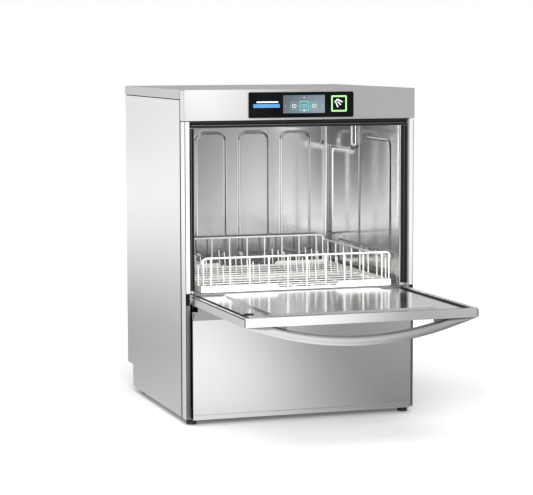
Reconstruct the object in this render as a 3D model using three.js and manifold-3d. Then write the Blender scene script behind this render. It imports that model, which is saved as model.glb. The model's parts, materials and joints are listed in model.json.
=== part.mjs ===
// A front-loading commercial dishwasher with a drop-down door and a wire rack.
// Millimetres, +Z up, +Y towards the back of the machine. The door is open and the rack is in.
// The origin is on the floor, in the middle of the machine and its open door.

import * as THREE from 'three';
import * as BufferGeometryUtils from 'three/addons/utils/BufferGeometryUtils.js';
import Module from 'manifold-3d';

const wasm = await Module();
wasm.setup();

// ---------------------------------------------------------------- driving dimensions

const WIDTH = 600;          // across the lid
const DEPTH = 580;          // from the front of the fascia to the back
const HEIGHT = 820;         // from the floor to the top of the lid
const DOOR_REACH = 432;     // how far the open door stands out in front of the fascia
const SHEET = 1.2;          // thickness of the folded steel sheet
const GAP = 0.4;            // clearance between neighbouring pieces

const SIDE = WIDTH / 2 - 1;             // outer face of the side panels, just under the lid's edge
const FOOT_HEIGHT = 15;
const FASCIA_HEIGHT = 75;
const FASCIA_BOTTOM = HEIGHT - FASCIA_HEIGHT;
const SKIRT = 23;                       // how far the lid turns down over the sides
const POST = { face: 13, depth: 38 };   // the two pillars beside the door
const RECESS = { depth: 58, top: 74 };  // step at the back, low down, for the connections
const PROUD = 17;                       // how far the door and the panel under it stand forward

const CHAMBER = { half: 270, front: 24, back: 552, floor: 300, header: 727, ceiling: 790 };
const TANK = { bottom: 215, front: 30 };
const HUB_Y = (28 + 548) / 2;           // the wash arms turn about this line, at x = 0

const HINGE = { y: -2.5, z: 313.5, pin: 4 };
const DOOR = { half: 285, root: 12, bottom: 299, top: 321 };
const HANDLE = { drop: 54, thick: 22, front: -430, back: -402, halfSpan: 275 };
const RACK = { half: 250, front: 28, length: 500, bottom: 322.4, strip: 16, rim: 396, endRim: 409 };

const GLASS = { half: 136, low: 750.5, high: 812.5, corner: 4 };
const SCREEN = { x0: -47, x1: 61, low: 761, high: 805 };
const BUTTON = { x0: 77, x1: 119, low: 763, high: 804 };

// ---------------------------------------------------------------- materials

function finish(color, roughness, metalness) {
  return new THREE.MeshStandardMaterial({ color, roughness, metalness });
}

const MATERIAL = {
  brushed: () => finish(0xc9cacb, 0.34, 1.0),
  polished: () => finish(0xd3d4d5, 0.18, 1.0),
  satin: () => finish(0xb9babb, 0.4, 1.0),
  blackGlass: () => finish(0x08090b, 0.08, 0.0),
  screen: () => finish(0x5c6a76, 0.2, 0.0),
  rubber: () => finish(0x141414, 0.75, 0.0),
  blackPlastic: () => finish(0x1b1b1c, 0.5, 0.0),
  greyPlastic: () => finish(0x8c9094, 0.5, 0.0),
  coatedWire: () => finish(0xf1f1ee, 0.45, 0.0),
  circuitBoard: () => finish(0x1e5b35, 0.6, 0.0),
  castMetal: () => finish(0x70757a, 0.6, 0.6),
  element: () => finish(0x6b6763, 0.5, 0.9),
  brass: () => finish(0xb79a55, 0.35, 1.0),
};

// ---------------------------------------------------------------- solids

function solid(geometry) {
  const plain = geometry.index ? geometry.toNonIndexed() : geometry.clone();
  plain.deleteAttribute('normal');
  plain.deleteAttribute('uv');
  const merged = BufferGeometryUtils.mergeVertices(plain, 1e-4);
  return new wasm.Manifold(new wasm.Mesh({
    numProp: 3,
    vertProperties: new Float32Array(merged.attributes.position.array),
    triVerts: new Uint32Array(merged.index.array),
  }));
}

function block(x0, x1, y0, y1, z0, z1) {
  const box = new THREE.BoxGeometry(x1 - x0, y1 - y0, z1 - z0);
  box.translate((x0 + x1) / 2, (y0 + y1) / 2, (z0 + z1) / 2);
  return solid(box);
}

// A round bar from a to b along an axis; p and q are its place on the other two axes.
function rod(axis, radius, a, b, p, q, sides = 20) {
  const bar = new THREE.CylinderGeometry(radius, radius, b - a, sides);
  const middle = (a + b) / 2;
  if (axis === 'x') {
    bar.rotateZ(Math.PI / 2);
    bar.translate(middle, p, q);
  } else if (axis === 'y') {
    bar.translate(p, middle, q);
  } else {
    bar.rotateX(Math.PI / 2);
    bar.translate(p, q, middle);
  }
  return solid(bar);
}

// A profile of [radius, height] points turned about the vertical line through x, y.
function turned(profile, x, y, sides = 18) {
  const points = profile.map(([r, h]) => new THREE.Vector2(r, h));
  const lathe = new THREE.LatheGeometry(points, sides);
  lathe.rotateX(Math.PI / 2);
  lathe.translate(x, y, 0);
  return solid(lathe);
}

function outline(points) {
  return new THREE.Shape(points.map(([u, v]) => new THREE.Vector2(u, v)));
}

// An outline in the plane across x, given as [y, z] points, drawn out from x0 to x1.
function drawnAlongX(points, x0, x1) {
  const bar = new THREE.ExtrudeGeometry(outline(points), { depth: x1 - x0, bevelEnabled: false });
  bar.applyMatrix4(new THREE.Matrix4().set(0, 0, 1, x0, 1, 0, 0, 0, 0, 1, 0, 0, 0, 0, 0, 1));
  return solid(bar);
}

// An outline in plan, given as a shape or [x, y] points, drawn up from z0 to z1.
function drawnUp(shape, z0, z1, curveSegments = 8) {
  const flat = Array.isArray(shape) ? outline(shape) : shape;
  const bar = new THREE.ExtrudeGeometry(flat, { depth: z1 - z0, bevelEnabled: false, curveSegments });
  bar.translate(0, 0, z0);
  return solid(bar);
}

// An outline seen from the front, in [x, z], drawn back from y0 to y1.
function drawnBack(shape, y0, y1, curveSegments = 8) {
  const bar = new THREE.ExtrudeGeometry(shape, { depth: y1 - y0, bevelEnabled: false, curveSegments });
  bar.rotateX(Math.PI / 2);
  bar.translate(0, y1, 0);
  return solid(bar);
}

function roundedRectangle(x0, x1, z0, z1, radius) {
  const shape = new THREE.Shape();
  shape.moveTo(x0 + radius, z0);
  shape.lineTo(x1 - radius, z0);
  shape.absarc(x1 - radius, z0 + radius, radius, -Math.PI / 2, 0, false);
  shape.lineTo(x1, z1 - radius);
  shape.absarc(x1 - radius, z1 - radius, radius, 0, Math.PI / 2, false);
  shape.lineTo(x0 + radius, z1);
  shape.absarc(x0 + radius, z1 - radius, radius, Math.PI / 2, Math.PI, false);
  shape.lineTo(x0, z0 + radius);
  shape.absarc(x0 + radius, z0 + radius, radius, Math.PI, 1.5 * Math.PI, false);
  return shape;
}

// A folded tray: a box of sheet with the named sides left open.
function tray(x0, x1, y0, y1, z0, z1, open, thickness = SHEET) {
  const beyond = 5;
  const inset = (side) => (open.includes(side) ? -beyond : thickness);
  return block(x0, x1, y0, y1, z0, z1).subtract(block(
    x0 + inset('left'), x1 - inset('right'),
    y0 + inset('front'), y1 - inset('back'),
    z0 + inset('bottom'), z1 - inset('top'),
  ));
}

function joined(parts) {
  return parts.reduce((whole, part) => whole.add(part));
}

function mirrored(part) {
  return part.mirror([1, 0, 0]);
}

function piece(name, shape, material) {
  const mesh = shape.getMesh();
  const geometry = new THREE.BufferGeometry();
  geometry.setAttribute('position', new THREE.BufferAttribute(new Float32Array(mesh.vertProperties), 3));
  geometry.setIndex(new THREE.BufferAttribute(new Uint32Array(mesh.triVerts), 1));
  geometry.computeVertexNormals();
  const object = new THREE.Mesh(geometry, material);
  object.name = name;
  return object;
}

function pair(name, left, material) {
  return [piece(`${name}_left`, left, material()), piece(`${name}_right`, mirrored(left), material())];
}

// ---------------------------------------------------------------- cabinet

function sidePanel() {
  const front = POST.depth + GAP;
  const skin = drawnAlongX([
    [front, FOOT_HEIGHT], [DEPTH - RECESS.depth, FOOT_HEIGHT], [DEPTH - RECESS.depth, RECESS.top],
    [DEPTH, RECESS.top], [DEPTH, HEIGHT - SKIRT - GAP], [front, HEIGHT - SKIRT - GAP],
  ], -SIDE, -SIDE + SHEET);
  const frontFold = block(-SIDE, -SIDE + 12, front, front + SHEET, FOOT_HEIGHT, HEIGHT - SKIRT - GAP);
  const rearFold = block(-SIDE, -SIDE + 12, DEPTH - SHEET, DEPTH, RECESS.top, HEIGHT - SKIRT - GAP);
  return joined([skin, frontFold, rearFold]);
}

const CONNECTIONS = {
  inlet: { x: 200, z: 54, radius: 13 },
  drain: { x: 120, z: 54, radius: 12 },
  gland: { x: -200, z: 54, radius: 11 },
};

function rearPanel() {
  const back = DEPTH - SHEET - GAP;
  const step = DEPTH - RECESS.depth - GAP;
  const base = FOOT_HEIGHT + 3;
  const sheet = drawnAlongX([
    [back, HEIGHT - SKIRT - GAP], [back - SHEET, HEIGHT - SKIRT - GAP],
    [back - SHEET, RECESS.top + SHEET], [step - SHEET, RECESS.top + SHEET],
    [step - SHEET, base], [step, base], [step, RECESS.top], [back, RECESS.top],
  ], -SIDE + SHEET + GAP, SIDE - SHEET - GAP);
  const holes = Object.values(CONNECTIONS).map(({ x, z, radius }) => (
    rod('y', radius + GAP, step - 10, step + 10, x, z)
  ));
  return holes.reduce((rest, hole) => rest.subtract(hole), sheet);
}

function lid() {
  const half = WIDTH / 2;
  const skirtFront = POST.depth - 1.6;
  const cover = tray(-half, half, skirtFront, DEPTH, HEIGHT - SKIRT, HEIGHT, ['bottom', 'front']);
  const frontStrip = block(-half, half, SHEET + GAP, skirtFront + 10, HEIGHT - SHEET, HEIGHT);
  return cover.add(frontStrip);
}

function fascia() {
  const half = WIDTH / 2;
  const face = block(-half, half, 0, SHEET, FASCIA_BOTTOM, HEIGHT);
  const flank = block(-half, -half + SHEET, 0, POST.depth - 2, FASCIA_BOTTOM, HEIGHT - SHEET - GAP);
  const underside = block(-half, half, 0, 22, FASCIA_BOTTOM, FASCIA_BOTTOM + SHEET);
  const window = roundedRectangle(
    -GLASS.half - GAP, GLASS.half + GAP, GLASS.low - GAP, GLASS.high + GAP, GLASS.corner,
  );
  return joined([face, flank, mirrored(flank), underside]).subtract(drawnBack(window, -5, 5));
}

function doorPost() {
  const outer = -SIDE;
  const inner = -SIDE + POST.face;
  const channel = drawnUp([
    [outer, 0], [inner, 0], [inner, POST.depth - 2], [inner - SHEET, POST.depth - 2],
    [inner - SHEET, SHEET], [outer + SHEET, SHEET], [outer + SHEET, POST.depth], [outer, POST.depth],
  ], FOOT_HEIGHT, FASCIA_BOTTOM - GAP);
  const ear = block(inner - SHEET, inner, HINGE.y - 7, SHEET, HINGE.z - 10, HINGE.z + 10);
  const pinHole = rod('x', HINGE.pin + 0.15, inner - 8, inner + 8, HINGE.y, HINGE.z);
  return channel.add(ear).subtract(pinHole);
}

function lowerFrontPanel() {
  const top = 292.5;
  const shell = tray(-DOOR.half, DOOR.half, -PROUD, 1, FOOT_HEIGHT + 1, top, ['back']);
  const armSlot = block(-DOOR.half + SHEET, -CHAMBER.half, -PROUD + SHEET, 5, top - 10, top + 5);
  return shell.subtract(armSlot).subtract(mirrored(armSlot));
}

const FEET = {
  foot_front_left: [-279, 24],
  foot_front_right: [279, 24],
  foot_rear_left: [-270, 480],
  foot_rear_right: [270, 480],
};
const FOOT_STUD = 5;

function baseTray() {
  const floor = FOOT_HEIGHT + GAP;
  const rear = DEPTH - RECESS.depth - 2 * SHEET - GAP;
  const main = tray(-SIDE + 2, SIDE - 2, POST.depth + 4, rear, floor, floor + 20, ['top']);
  const tongue = block(-DOOR.half, DOOR.half, 2, POST.depth + 6, floor, floor + SHEET);
  const holes = Object.values(FEET).map(([x, y]) => (
    rod('z', FOOT_STUD + GAP, floor - 5, floor + 5, x, y)
  ));
  return holes.reduce((rest, hole) => rest.subtract(hole), main.add(tongue));
}

function foot([x, y]) {
  const pad = 13;
  return turned([
    [0, 0], [pad, 0], [pad, 6], [pad - 2, FOOT_HEIGHT], [FOOT_STUD, FOOT_HEIGHT],
    [FOOT_STUD, FOOT_HEIGHT + 20], [0, FOOT_HEIGHT + 20],
  ], x, y);
}

// ---------------------------------------------------------------- controls

function controlGlass() {
  const plate = roundedRectangle(-GLASS.half, GLASS.half, GLASS.low, GLASS.high, GLASS.corner);
  const screenHole = block(SCREEN.x0 - GAP, SCREEN.x1 + GAP, -5, 9, SCREEN.low - GAP, SCREEN.high + GAP);
  const buttonHole = block(BUTTON.x0 - GAP, BUTTON.x1 + GAP, -5, 9, BUTTON.low - GAP, BUTTON.high + GAP);
  return drawnBack(plate, -0.5, 3).subtract(screenHole).subtract(buttonHole);
}

function display() {
  return block(SCREEN.x0, SCREEN.x1, -0.3, 5, SCREEN.low, SCREEN.high);
}

function startButton() {
  return drawnBack(roundedRectangle(BUTTON.x0, BUTTON.x1, BUTTON.low, BUTTON.high, 3), -0.8, 6);
}

function controlBoard() {
  const board = block(-130, 130, 8.5, 10.1, 752, 811);
  const chips = [-100, -30, 40].map((x) => block(x, x + 28, 10, 14, 770, 795));
  return joined([board, ...chips]);
}

// ---------------------------------------------------------------- wash chamber and tank

function chamberSide() {
  const { half, front, back, floor, ceiling } = CHAMBER;
  const wall = block(-half - SHEET, -half, front, back, floor + GAP, ceiling - GAP);
  const frontFold = block(-half - 15.5, -half, front - SHEET, front, 330, FASCIA_BOTTOM - 18);
  return wall.add(frontFold);
}

function chamberBack() {
  const { half, back, floor, ceiling } = CHAMBER;
  const outer = half + SHEET;
  return block(-outer, outer, back + GAP, back + GAP + SHEET, floor + GAP, ceiling - GAP);
}

function chamberTop() {
  const { half, front, back, header, ceiling } = CHAMBER;
  const outer = half + SHEET;
  const roof = block(-outer, outer, front - SHEET, back + GAP + SHEET, ceiling, ceiling + SHEET);
  const headerWall = block(-half + GAP, half - GAP, front - SHEET, front, header, ceiling + SHEET);
  return roof.add(headerWall);
}

function threshold() {
  const half = CHAMBER.half - GAP;
  const top = 321.2;
  return drawnAlongX([
    [15.2, 302], [15.2, top], [21, top], [TANK.front + 6, top - 12], [TANK.front + 6, top - 14],
    [20.5, top - SHEET], [15.2 + SHEET, top - SHEET], [15.2 + SHEET, 302],
  ], -half, half);
}

const ELEMENT = { radius: 4.5, z: 232, left: -240, right: -70, front: 200, back: 440 };

function washTank() {
  const outer = CHAMBER.half + SHEET;
  const rear = CHAMBER.back + GAP + SHEET;
  const shell = tray(-outer, outer, TANK.front, rear, TANK.bottom, CHAMBER.floor, ['top']);
  const drainHole = rod('z', 20, TANK.bottom - 5, TANK.bottom + 5, 120, 150);
  const suctionHole = rod('z', 26, TANK.bottom - 5, TANK.bottom + 5, -60, 150);
  return shell.subtract(drainHole).subtract(suctionHole);
}

function rackGuide() {
  const wall = -CHAMBER.half + GAP;
  const ledge = block(wall, -238, 38, 545, RACK.bottom - 0.6 - SHEET, RACK.bottom - 0.6);
  const upright = block(wall, wall + SHEET, 38, 545, RACK.bottom - 0.6 - SHEET, RACK.bottom + 20);
  return ledge.add(upright);
}

function sideGasket() {
  const { front, half } = CHAMBER;
  const base = block(-DOOR.half - 0.6, -half - 1.5, 12, front - SHEET - GAP, 330, FASCIA_BOTTOM - 19);
  const lip = block(-DOOR.half + 3, -DOOR.half + 7, 5.6, 14, 330, FASCIA_BOTTOM - 19);
  return base.add(lip);
}

function topGasket() {
  const half = DOOR.half - 1;
  const top = FASCIA_BOTTOM - GAP;
  const base = block(-half, half, 12, CHAMBER.front - SHEET - GAP, CHAMBER.header, top);
  const lip = block(-half, half, 5.6, 14, top - 7, top - 3);
  return base.add(lip);
}

// ---------------------------------------------------------------- wash system

const STRAINER_TOP = 285.2;
const BASKET = { x: 0, y: 120, radius: 42, bottom: 226 };

function tankStrainer() {
  const sheet = tray(-265, 265, 37, 546, STRAINER_TOP - 8, STRAINER_TOP, ['bottom']);
  const spindleHole = rod('z', 22, 270, 290, 0, HUB_Y);
  const basketHole = rod('z', BASKET.radius + 1, 270, 290, BASKET.x, BASKET.y);
  return sheet.subtract(spindleHole).subtract(basketHole);
}

function filterBasket() {
  const { x, y, radius, bottom } = BASKET;
  const rim = STRAINER_TOP + GAP;
  return turned([
    [0, bottom], [radius - 4, bottom], [radius, rim], [radius + 8, rim], [radius + 8, rim + 1.4],
    [radius - 1.5, rim + 1.4], [radius - 5.5, bottom + 1.5], [0, bottom + 1.5],
  ], x, y);
}

// Each arm level: the hub's height, its bore, and the arm's half length and half widths.
const WASH_ARM = { bore: 12.3, hub: 24, reach: 228, root: 21, tip: 15, height: 14 };
const RINSE_ARM = { bore: 9.3, hub: 16, reach: 226, root: 9, tip: 7, height: 9 };
const LEVEL = { lowerWash: 289.5, lowerRinse: 307, upperWash: 754, upperRinse: 739 };

function armOutline({ reach, root, tip }, inset) {
  const shape = new THREE.Shape();
  const end = reach - tip;
  shape.moveTo(-end, -tip + inset);
  shape.lineTo(0, -root + inset);
  shape.lineTo(end, -tip + inset);
  shape.absarc(end, 0, tip - inset, -Math.PI / 2, Math.PI / 2, false);
  shape.lineTo(0, root - inset);
  shape.lineTo(-end, tip - inset);
  shape.absarc(-end, 0, tip - inset, Math.PI / 2, 1.5 * Math.PI, false);
  return shape;
}

// A hollow spray arm about the hub line, with nozzle slots through the face that faces the rack.
function sprayArm(arm, low, nozzles, facesUp) {
  const wall = 1.5;
  const high = low + arm.height;
  const body = drawnUp(armOutline(arm, 0), low, high, 5);
  const hollow = drawnUp(armOutline(arm, wall), low + wall, high - wall, 5);
  const hub = rod('z', arm.hub, low - 0.4, high + 0.4, 0, 0, 24);
  const bore = rod('z', arm.bore, low - 5, high + 5, 0, 0, 24);
  const face = facesUp ? high : low;
  const slots = [];
  for (let n = 1; n <= nozzles; n += 1) {
    const x = arm.hub + 14 + (n - 1) * ((arm.reach - arm.hub - 34) / (nozzles - 1));
    slots.push(block(x - 1.5, x + 1.5, -5, 5, face - 3, face + 3));
    slots.push(block(-x - 1.5, -x + 1.5, -5, 5, face - 3, face + 3));
  }
  const pierced = slots.reduce((rest, slot) => rest.subtract(slot), body.subtract(hollow));
  return pierced.add(hub).subtract(bore).translate([0, HUB_Y, 0]);
}

function lowerSpindle() {
  const floor = TANK.bottom + SHEET + GAP;
  const wash = LEVEL.lowerWash;
  const rinse = LEVEL.lowerRinse;
  return turned([
    [0, floor], [36, floor], [36, floor + 4], [14, floor + 8], [14, wash - 2.5], [20, wash - 2.5],
    [20, wash - 0.9], [12, wash - 0.9], [12, rinse - 1], [9, rinse - 1],
    [9, rinse + 10], [13, rinse + 10], [12, rinse + 14], [0, rinse + 14],
  ], 0, HUB_Y);
}

function upperSpindle() {
  const roof = CHAMBER.ceiling - GAP;
  const wash = LEVEL.upperWash + WASH_ARM.height;
  const rinse = LEVEL.upperRinse;
  return turned([
    [0, rinse - 5], [12, rinse - 5], [13, rinse - 1], [9, rinse - 1], [9, wash - 16],
    [12, wash - 16], [12, wash + 1], [20, wash + 1], [20, wash + 3], [14, wash + 3],
    [14, roof - 6], [36, roof - 3], [36, roof], [0, roof],
  ], 0, HUB_Y);
}

function tankHeater() {
  const { left, right, front, back, z, radius } = ELEMENT;
  const corner = 30;
  const end = CHAMBER.back - 8;
  const middle = (left + right) / 2;
  const path = new THREE.CurvePath();
  const at = (x, y) => new THREE.Vector3(x, y, z);
  const bend = (a, b, c) => path.add(new THREE.QuadraticBezierCurve3(at(...a), at(...b), at(...c)));
  const run = (a, b) => path.add(new THREE.LineCurve3(at(...a), at(...b)));
  run([middle - 20, end], [middle - 20, back + corner]);
  bend([middle - 20, back + corner], [middle - 20, back], [middle - 50, back]);
  bend([middle - 50, back], [left, back], [left, back - corner]);
  run([left, back - corner], [left, front + corner]);
  bend([left, front + corner], [left, front], [left + corner, front]);
  run([left + corner, front], [right - corner, front]);
  bend([right - corner, front], [right, front], [right, front + corner]);
  run([right, front + corner], [right, back - corner]);
  bend([right, back - corner], [right, back], [middle + 50, back]);
  bend([middle + 50, back], [middle + 20, back], [middle + 20, back + corner]);
  run([middle + 20, back + corner], [middle + 20, end]);
  const section = new THREE.Shape();
  section.absarc(0, 0, radius, 0, 2 * Math.PI, false);
  const tube = new THREE.ExtrudeGeometry(section, { steps: 44, extrudePath: path, curveSegments: 4 });
  return solid(tube);
}

const PUMP = { y: 300, z: 122, motor: 54, casing: 72 };

function pumpMotor() {
  const { y, z, motor } = PUMP;
  const body = rod('x', motor, -262, -104, y, z);
  const box = block(-220, -150, y - 30, y + 30, z + 30, z + 74);
  const footPlate = block(-250, -120, y - 45, y + 45, 44, z - 30);
  const bore = rod('x', 7, -120, -95, y, z, 12);
  return joined([body, box, footPlate]).subtract(bore);
}

function pumpCasing() {
  const { y, z, casing } = PUMP;
  const shell = rod('x', casing, -103, -40, y, z);
  const inside = rod('x', casing - 4, -99, -44, y, z);
  const inlet = rod('x', 24, -42, -12, y, z);
  const eye = rod('x', 20, -60, -5, y, z);
  const shaftHole = rod('x', 8, -110, -90, y, z, 12);
  const outlet = block(-90, -60, y + 40, y + 118, z + 46, z + 70);
  const outletBore = block(-87, -63, y + 10, y + 125, z + 49, z + 67);
  return joined([shell, inlet, outlet]).subtract(inside).subtract(eye).subtract(shaftHole)
    .subtract(outletBore);
}

function pumpImpeller() {
  const { y, z } = PUMP;
  const shaft = rod('x', 6, -119, -50, y, z, 12);
  const disc = rod('x', 58, -94, -90, y, z);
  const blades = [];
  for (let n = 0; n < 6; n += 1) {
    blades.push(block(-91, -72, -2, 2, 4, 56).rotate([n * 60, 0, 0]).translate([0, y, z]));
  }
  return joined([shaft, disc, ...blades]);
}

function drainPump() {
  const body = rod('x', 30, 175, 255, 150, 100);
  const volute = rod('x', 36, 150, 178, 150, 100);
  const inlet = rod('x', 16, 110, 152, 150, 100);
  const outlet = rod('z', 12, 60, 110, 164, 172);
  return joined([body, volute, inlet, outlet]);
}

function boiler() {
  const radius = 66;
  const shell = rod('x', radius, 20, 270, 420, 122, 28);
  const inside = rod('x', radius - 2, 22, 268, 420, 122, 28);
  const portIn = rod('z', 8, 180, 206, 70, 420, 12);
  const portOut = rod('z', 8, 180, 206, 220, 420, 12);
  const boreIn = rod('z', 5, 170, 215, 70, 420, 12);
  const boreOut = rod('z', 5, 170, 215, 220, 420, 12);
  const element = rod('x', 24, 268, 284, 420, 122, 6);
  return joined([shell, portIn, portOut, element]).subtract(inside).subtract(boreIn).subtract(boreOut);
}

function riserDuct() {
  const front = PUMP.y + 119;
  const behind = CHAMBER.back + 3;
  const back = DEPTH - 4.5;
  const low = PUMP.z + 46;
  const roof = CHAMBER.ceiling + 3;
  return drawnAlongX([
    [front, low], [back, low], [back, roof + 18], [HUB_Y - 30, roof + 18], [HUB_Y - 30, roof],
    [behind, roof], [behind, low + 24], [front, low + 24],
  ], -100, -50);
}

function powerBox() {
  const shell = tray(-275, -115, 390, 512, 78, 190, ['back']);
  const terminals = block(-235, -155, 389, 400, 130, 160);
  return shell.add(terminals);
}

// ---------------------------------------------------------------- connections

function threadedStub({ x, z, radius }, sides) {
  const panel = DEPTH - RECESS.depth - GAP;
  const stub = rod('y', radius, panel - 20, panel + 26, x, z);
  const collar = rod('y', radius + 6, panel + GAP, panel + 7, x, z, sides);
  const bore = rod('y', radius - 4, panel - 10, panel + 40, x, z);
  return stub.add(collar).subtract(bore);
}

// ---------------------------------------------------------------- door

function doorOuterSkin() {
  const { half, root, bottom, top } = DOOR;
  const skin = tray(-half, half, -DOOR_REACH, root, bottom, top - GAP, ['top']);
  const pinHole = rod('x', HINGE.pin + 0.15, half - 8, half + 8, HINGE.y, HINGE.z);
  const armSlot = block(half - 10, half - 5, root - 6, root + 5, HINGE.z - 8, top + 5);
  const cuts = [pinHole, mirrored(pinHole), armSlot, mirrored(armSlot)];
  return cuts.reduce((rest, cut) => rest.subtract(cut), skin);
}

function doorInnerPanel() {
  const edge = DOOR.half - SHEET - GAP;
  const front = -DOOR_REACH + SHEET + GAP;
  const back = DOOR.root - SHEET - GAP;
  const top = DOOR.top - GAP;
  const sheet = block(-edge, edge, front, back, top - SHEET, top);
  const raised = block(-206, 206, front + 40, -14, top - SHEET, DOOR.top + 1);
  const web = block(-CHAMBER.half, -CHAMBER.half + SHEET, front + 30, back - 30, 301, top);
  return joined([sheet, raised, web, mirrored(web)]);
}

// The bar is a shallow bow under the door, between two arcs about one centre.
const BOW = (() => {
  const { drop, thick, halfSpan } = HANDLE;
  const sagitta = drop - 3;
  const radius = (halfSpan * halfSpan + sagitta * sagitta) / (2 * sagitta);
  return { radius, inner: radius - thick, centre: DOOR.bottom - drop + radius };
})();

function doorHandle() {
  const flush = DOOR.bottom - GAP;
  const reach = (radius) => Math.sqrt(radius ** 2 - (BOW.centre - flush) ** 2);
  const angle = (radius) => Math.asin(reach(radius) / radius);
  const down = -Math.PI / 2;
  const shape = new THREE.Shape();
  shape.absarc(0, BOW.centre, BOW.radius, down - angle(BOW.radius), down + angle(BOW.radius), false);
  shape.absarc(0, BOW.centre, BOW.inner, down + angle(BOW.inner), down - angle(BOW.inner), true);
  return drawnBack(shape, HANDLE.front, HANDLE.back, 24);
}

function handleEnd() {
  const flush = DOOR.bottom - GAP;
  const inner = 182;
  const wedge = block(-213, -inner, HANDLE.front + 3, HANDLE.back - 3, flush - 30, flush);
  const under = rod('y', BOW.inner - GAP, HANDLE.front, HANDLE.back, 0, BOW.centre, 160);
  return wedge.intersect(under);
}

function hingeArm() {
  const x0 = -DOOR.half + 6;
  const x1 = x0 + 3;
  const lever = block(x0, x1, HINGE.y - 70, HINGE.y + 50, HINGE.z - 6, HINGE.z + 5);
  const tail = rod('x', 9, x0, x1, HINGE.y + 50, HINGE.z - 1, 16);
  const boss = rod('x', 6.5, x0, x1, HINGE.y, HINGE.z - 1.5, 16);
  const pin = rod('x', HINGE.pin, -SIDE + POST.face - 2.5, x1, HINGE.y, HINGE.z);
  const hook = rod('x', 3, x0 - 1, x1 + 1, HINGE.y + 50, HINGE.z - 1, 12);
  return joined([lever, tail, boss, pin]).subtract(hook);
}

// ---------------------------------------------------------------- rack

const WIRE = 4;
const RACK_BACK = RACK.front + RACK.length;

function rackSide() {
  const x0 = -RACK.half;
  const strip = block(x0, x0 + WIRE, RACK.front, RACK_BACK, RACK.bottom, RACK.bottom + RACK.strip);
  const rim = block(x0, x0 + WIRE, RACK.front, RACK_BACK, RACK.rim - WIRE, RACK.rim);
  const posts = [];
  const pitch = 62;
  for (let y = RACK.front; y <= RACK_BACK - WIRE; y += pitch) {
    posts.push(block(x0, x0 + WIRE, y, y + WIRE, RACK.bottom + RACK.strip - 1, RACK.rim - 1));
  }
  return joined([strip, rim, ...posts]);
}

function rackEnd(y0) {
  const half = RACK.half - WIRE - GAP;
  const strip = block(-half, half, y0, y0 + WIRE, RACK.bottom, RACK.bottom + RACK.strip);
  const rim = block(-half, half, y0, y0 + WIRE, RACK.endRim - WIRE, RACK.endRim);
  const posts = [];
  for (let x = -225; x <= 225; x += 50) {
    posts.push(block(x - 2, x + 2, y0, y0 + WIRE, RACK.bottom + RACK.strip - 1, RACK.endRim - 1));
  }
  for (const x of [-half, half - WIRE]) {
    posts.push(block(x, x + WIRE, y0, y0 + WIRE, RACK.bottom + RACK.strip - 1, RACK.endRim - 1));
  }
  return joined([strip, rim, ...posts]);
}

function rackBase() {
  const half = RACK.half - WIRE - GAP;
  const low = RACK.bottom + 3;
  const front = RACK.front + WIRE + GAP;
  const back = RACK_BACK - WIRE - GAP;
  const wires = [];
  const pitch = 80;
  for (let x = -200; x <= 200; x += pitch) {
    wires.push(block(x - 2, x + 2, front, back, low, low + WIRE));
  }
  for (let y = RACK.front + 50; y < back; y += pitch) {
    wires.push(block(-half, half, y - 2, y + 2, low + WIRE - 1, low + 2 * WIRE - 1));
  }
  return joined(wires);
}

function rackPins() {
  const low = RACK.bottom + 3 + 2 * WIRE - 1 + GAP;
  const tall = 48;
  const wires = [];
  for (const x of [-222, 222]) {
    wires.push(block(x - 2, x + 2, RACK.front + 60, RACK_BACK - 60, low, low + 3));
  }
  for (let y = RACK.front + 75; y < RACK_BACK - 60; y += 50) {
    wires.push(block(-224, 224, y - 1.5, y + 1.5, low, low + 3));
    for (const x of [-170, -75, 75, 170]) {
      wires.push(block(x - 1.5, x + 1.5, y - 1.5, y + 1.5, low + 2, low + tall));
    }
  }
  return joined(wires);
}

// ---------------------------------------------------------------- assembly

function group(pieces) {
  const whole = new THREE.Group();
  whole.add(...pieces.flat());
  return whole;
}

const cabinet = group([
  pair('side_panel', sidePanel(), MATERIAL.brushed),
  piece('rear_panel', rearPanel(), MATERIAL.brushed()),
  piece('lid', lid(), MATERIAL.brushed()),
  piece('fascia', fascia(), MATERIAL.brushed()),
  pair('door_post', doorPost(), MATERIAL.brushed),
  piece('lower_front_panel', lowerFrontPanel(), MATERIAL.brushed()),
  piece('base_tray', baseTray(), MATERIAL.brushed()),
  Object.entries(FEET).map(([name, place]) => piece(name, foot(place), MATERIAL.blackPlastic())),
]);

const controls = group([
  piece('control_glass', controlGlass(), MATERIAL.blackGlass()),
  piece('display', display(), MATERIAL.screen()),
  piece('start_button', startButton(), MATERIAL.blackGlass()),
  piece('control_board', controlBoard(), MATERIAL.circuitBoard()),
]);

const chamber = group([
  pair('chamber_wall', chamberSide(), MATERIAL.polished),
  piece('chamber_back', chamberBack(), MATERIAL.polished()),
  piece('chamber_top', chamberTop(), MATERIAL.polished()),
  piece('threshold', threshold(), MATERIAL.polished()),
  piece('wash_tank', washTank(), MATERIAL.polished()),
  pair('rack_guide', rackGuide(), MATERIAL.polished),
  pair('door_gasket', sideGasket(), MATERIAL.rubber),
  piece('door_gasket_top', topGasket(), MATERIAL.rubber()),
]);

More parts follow.
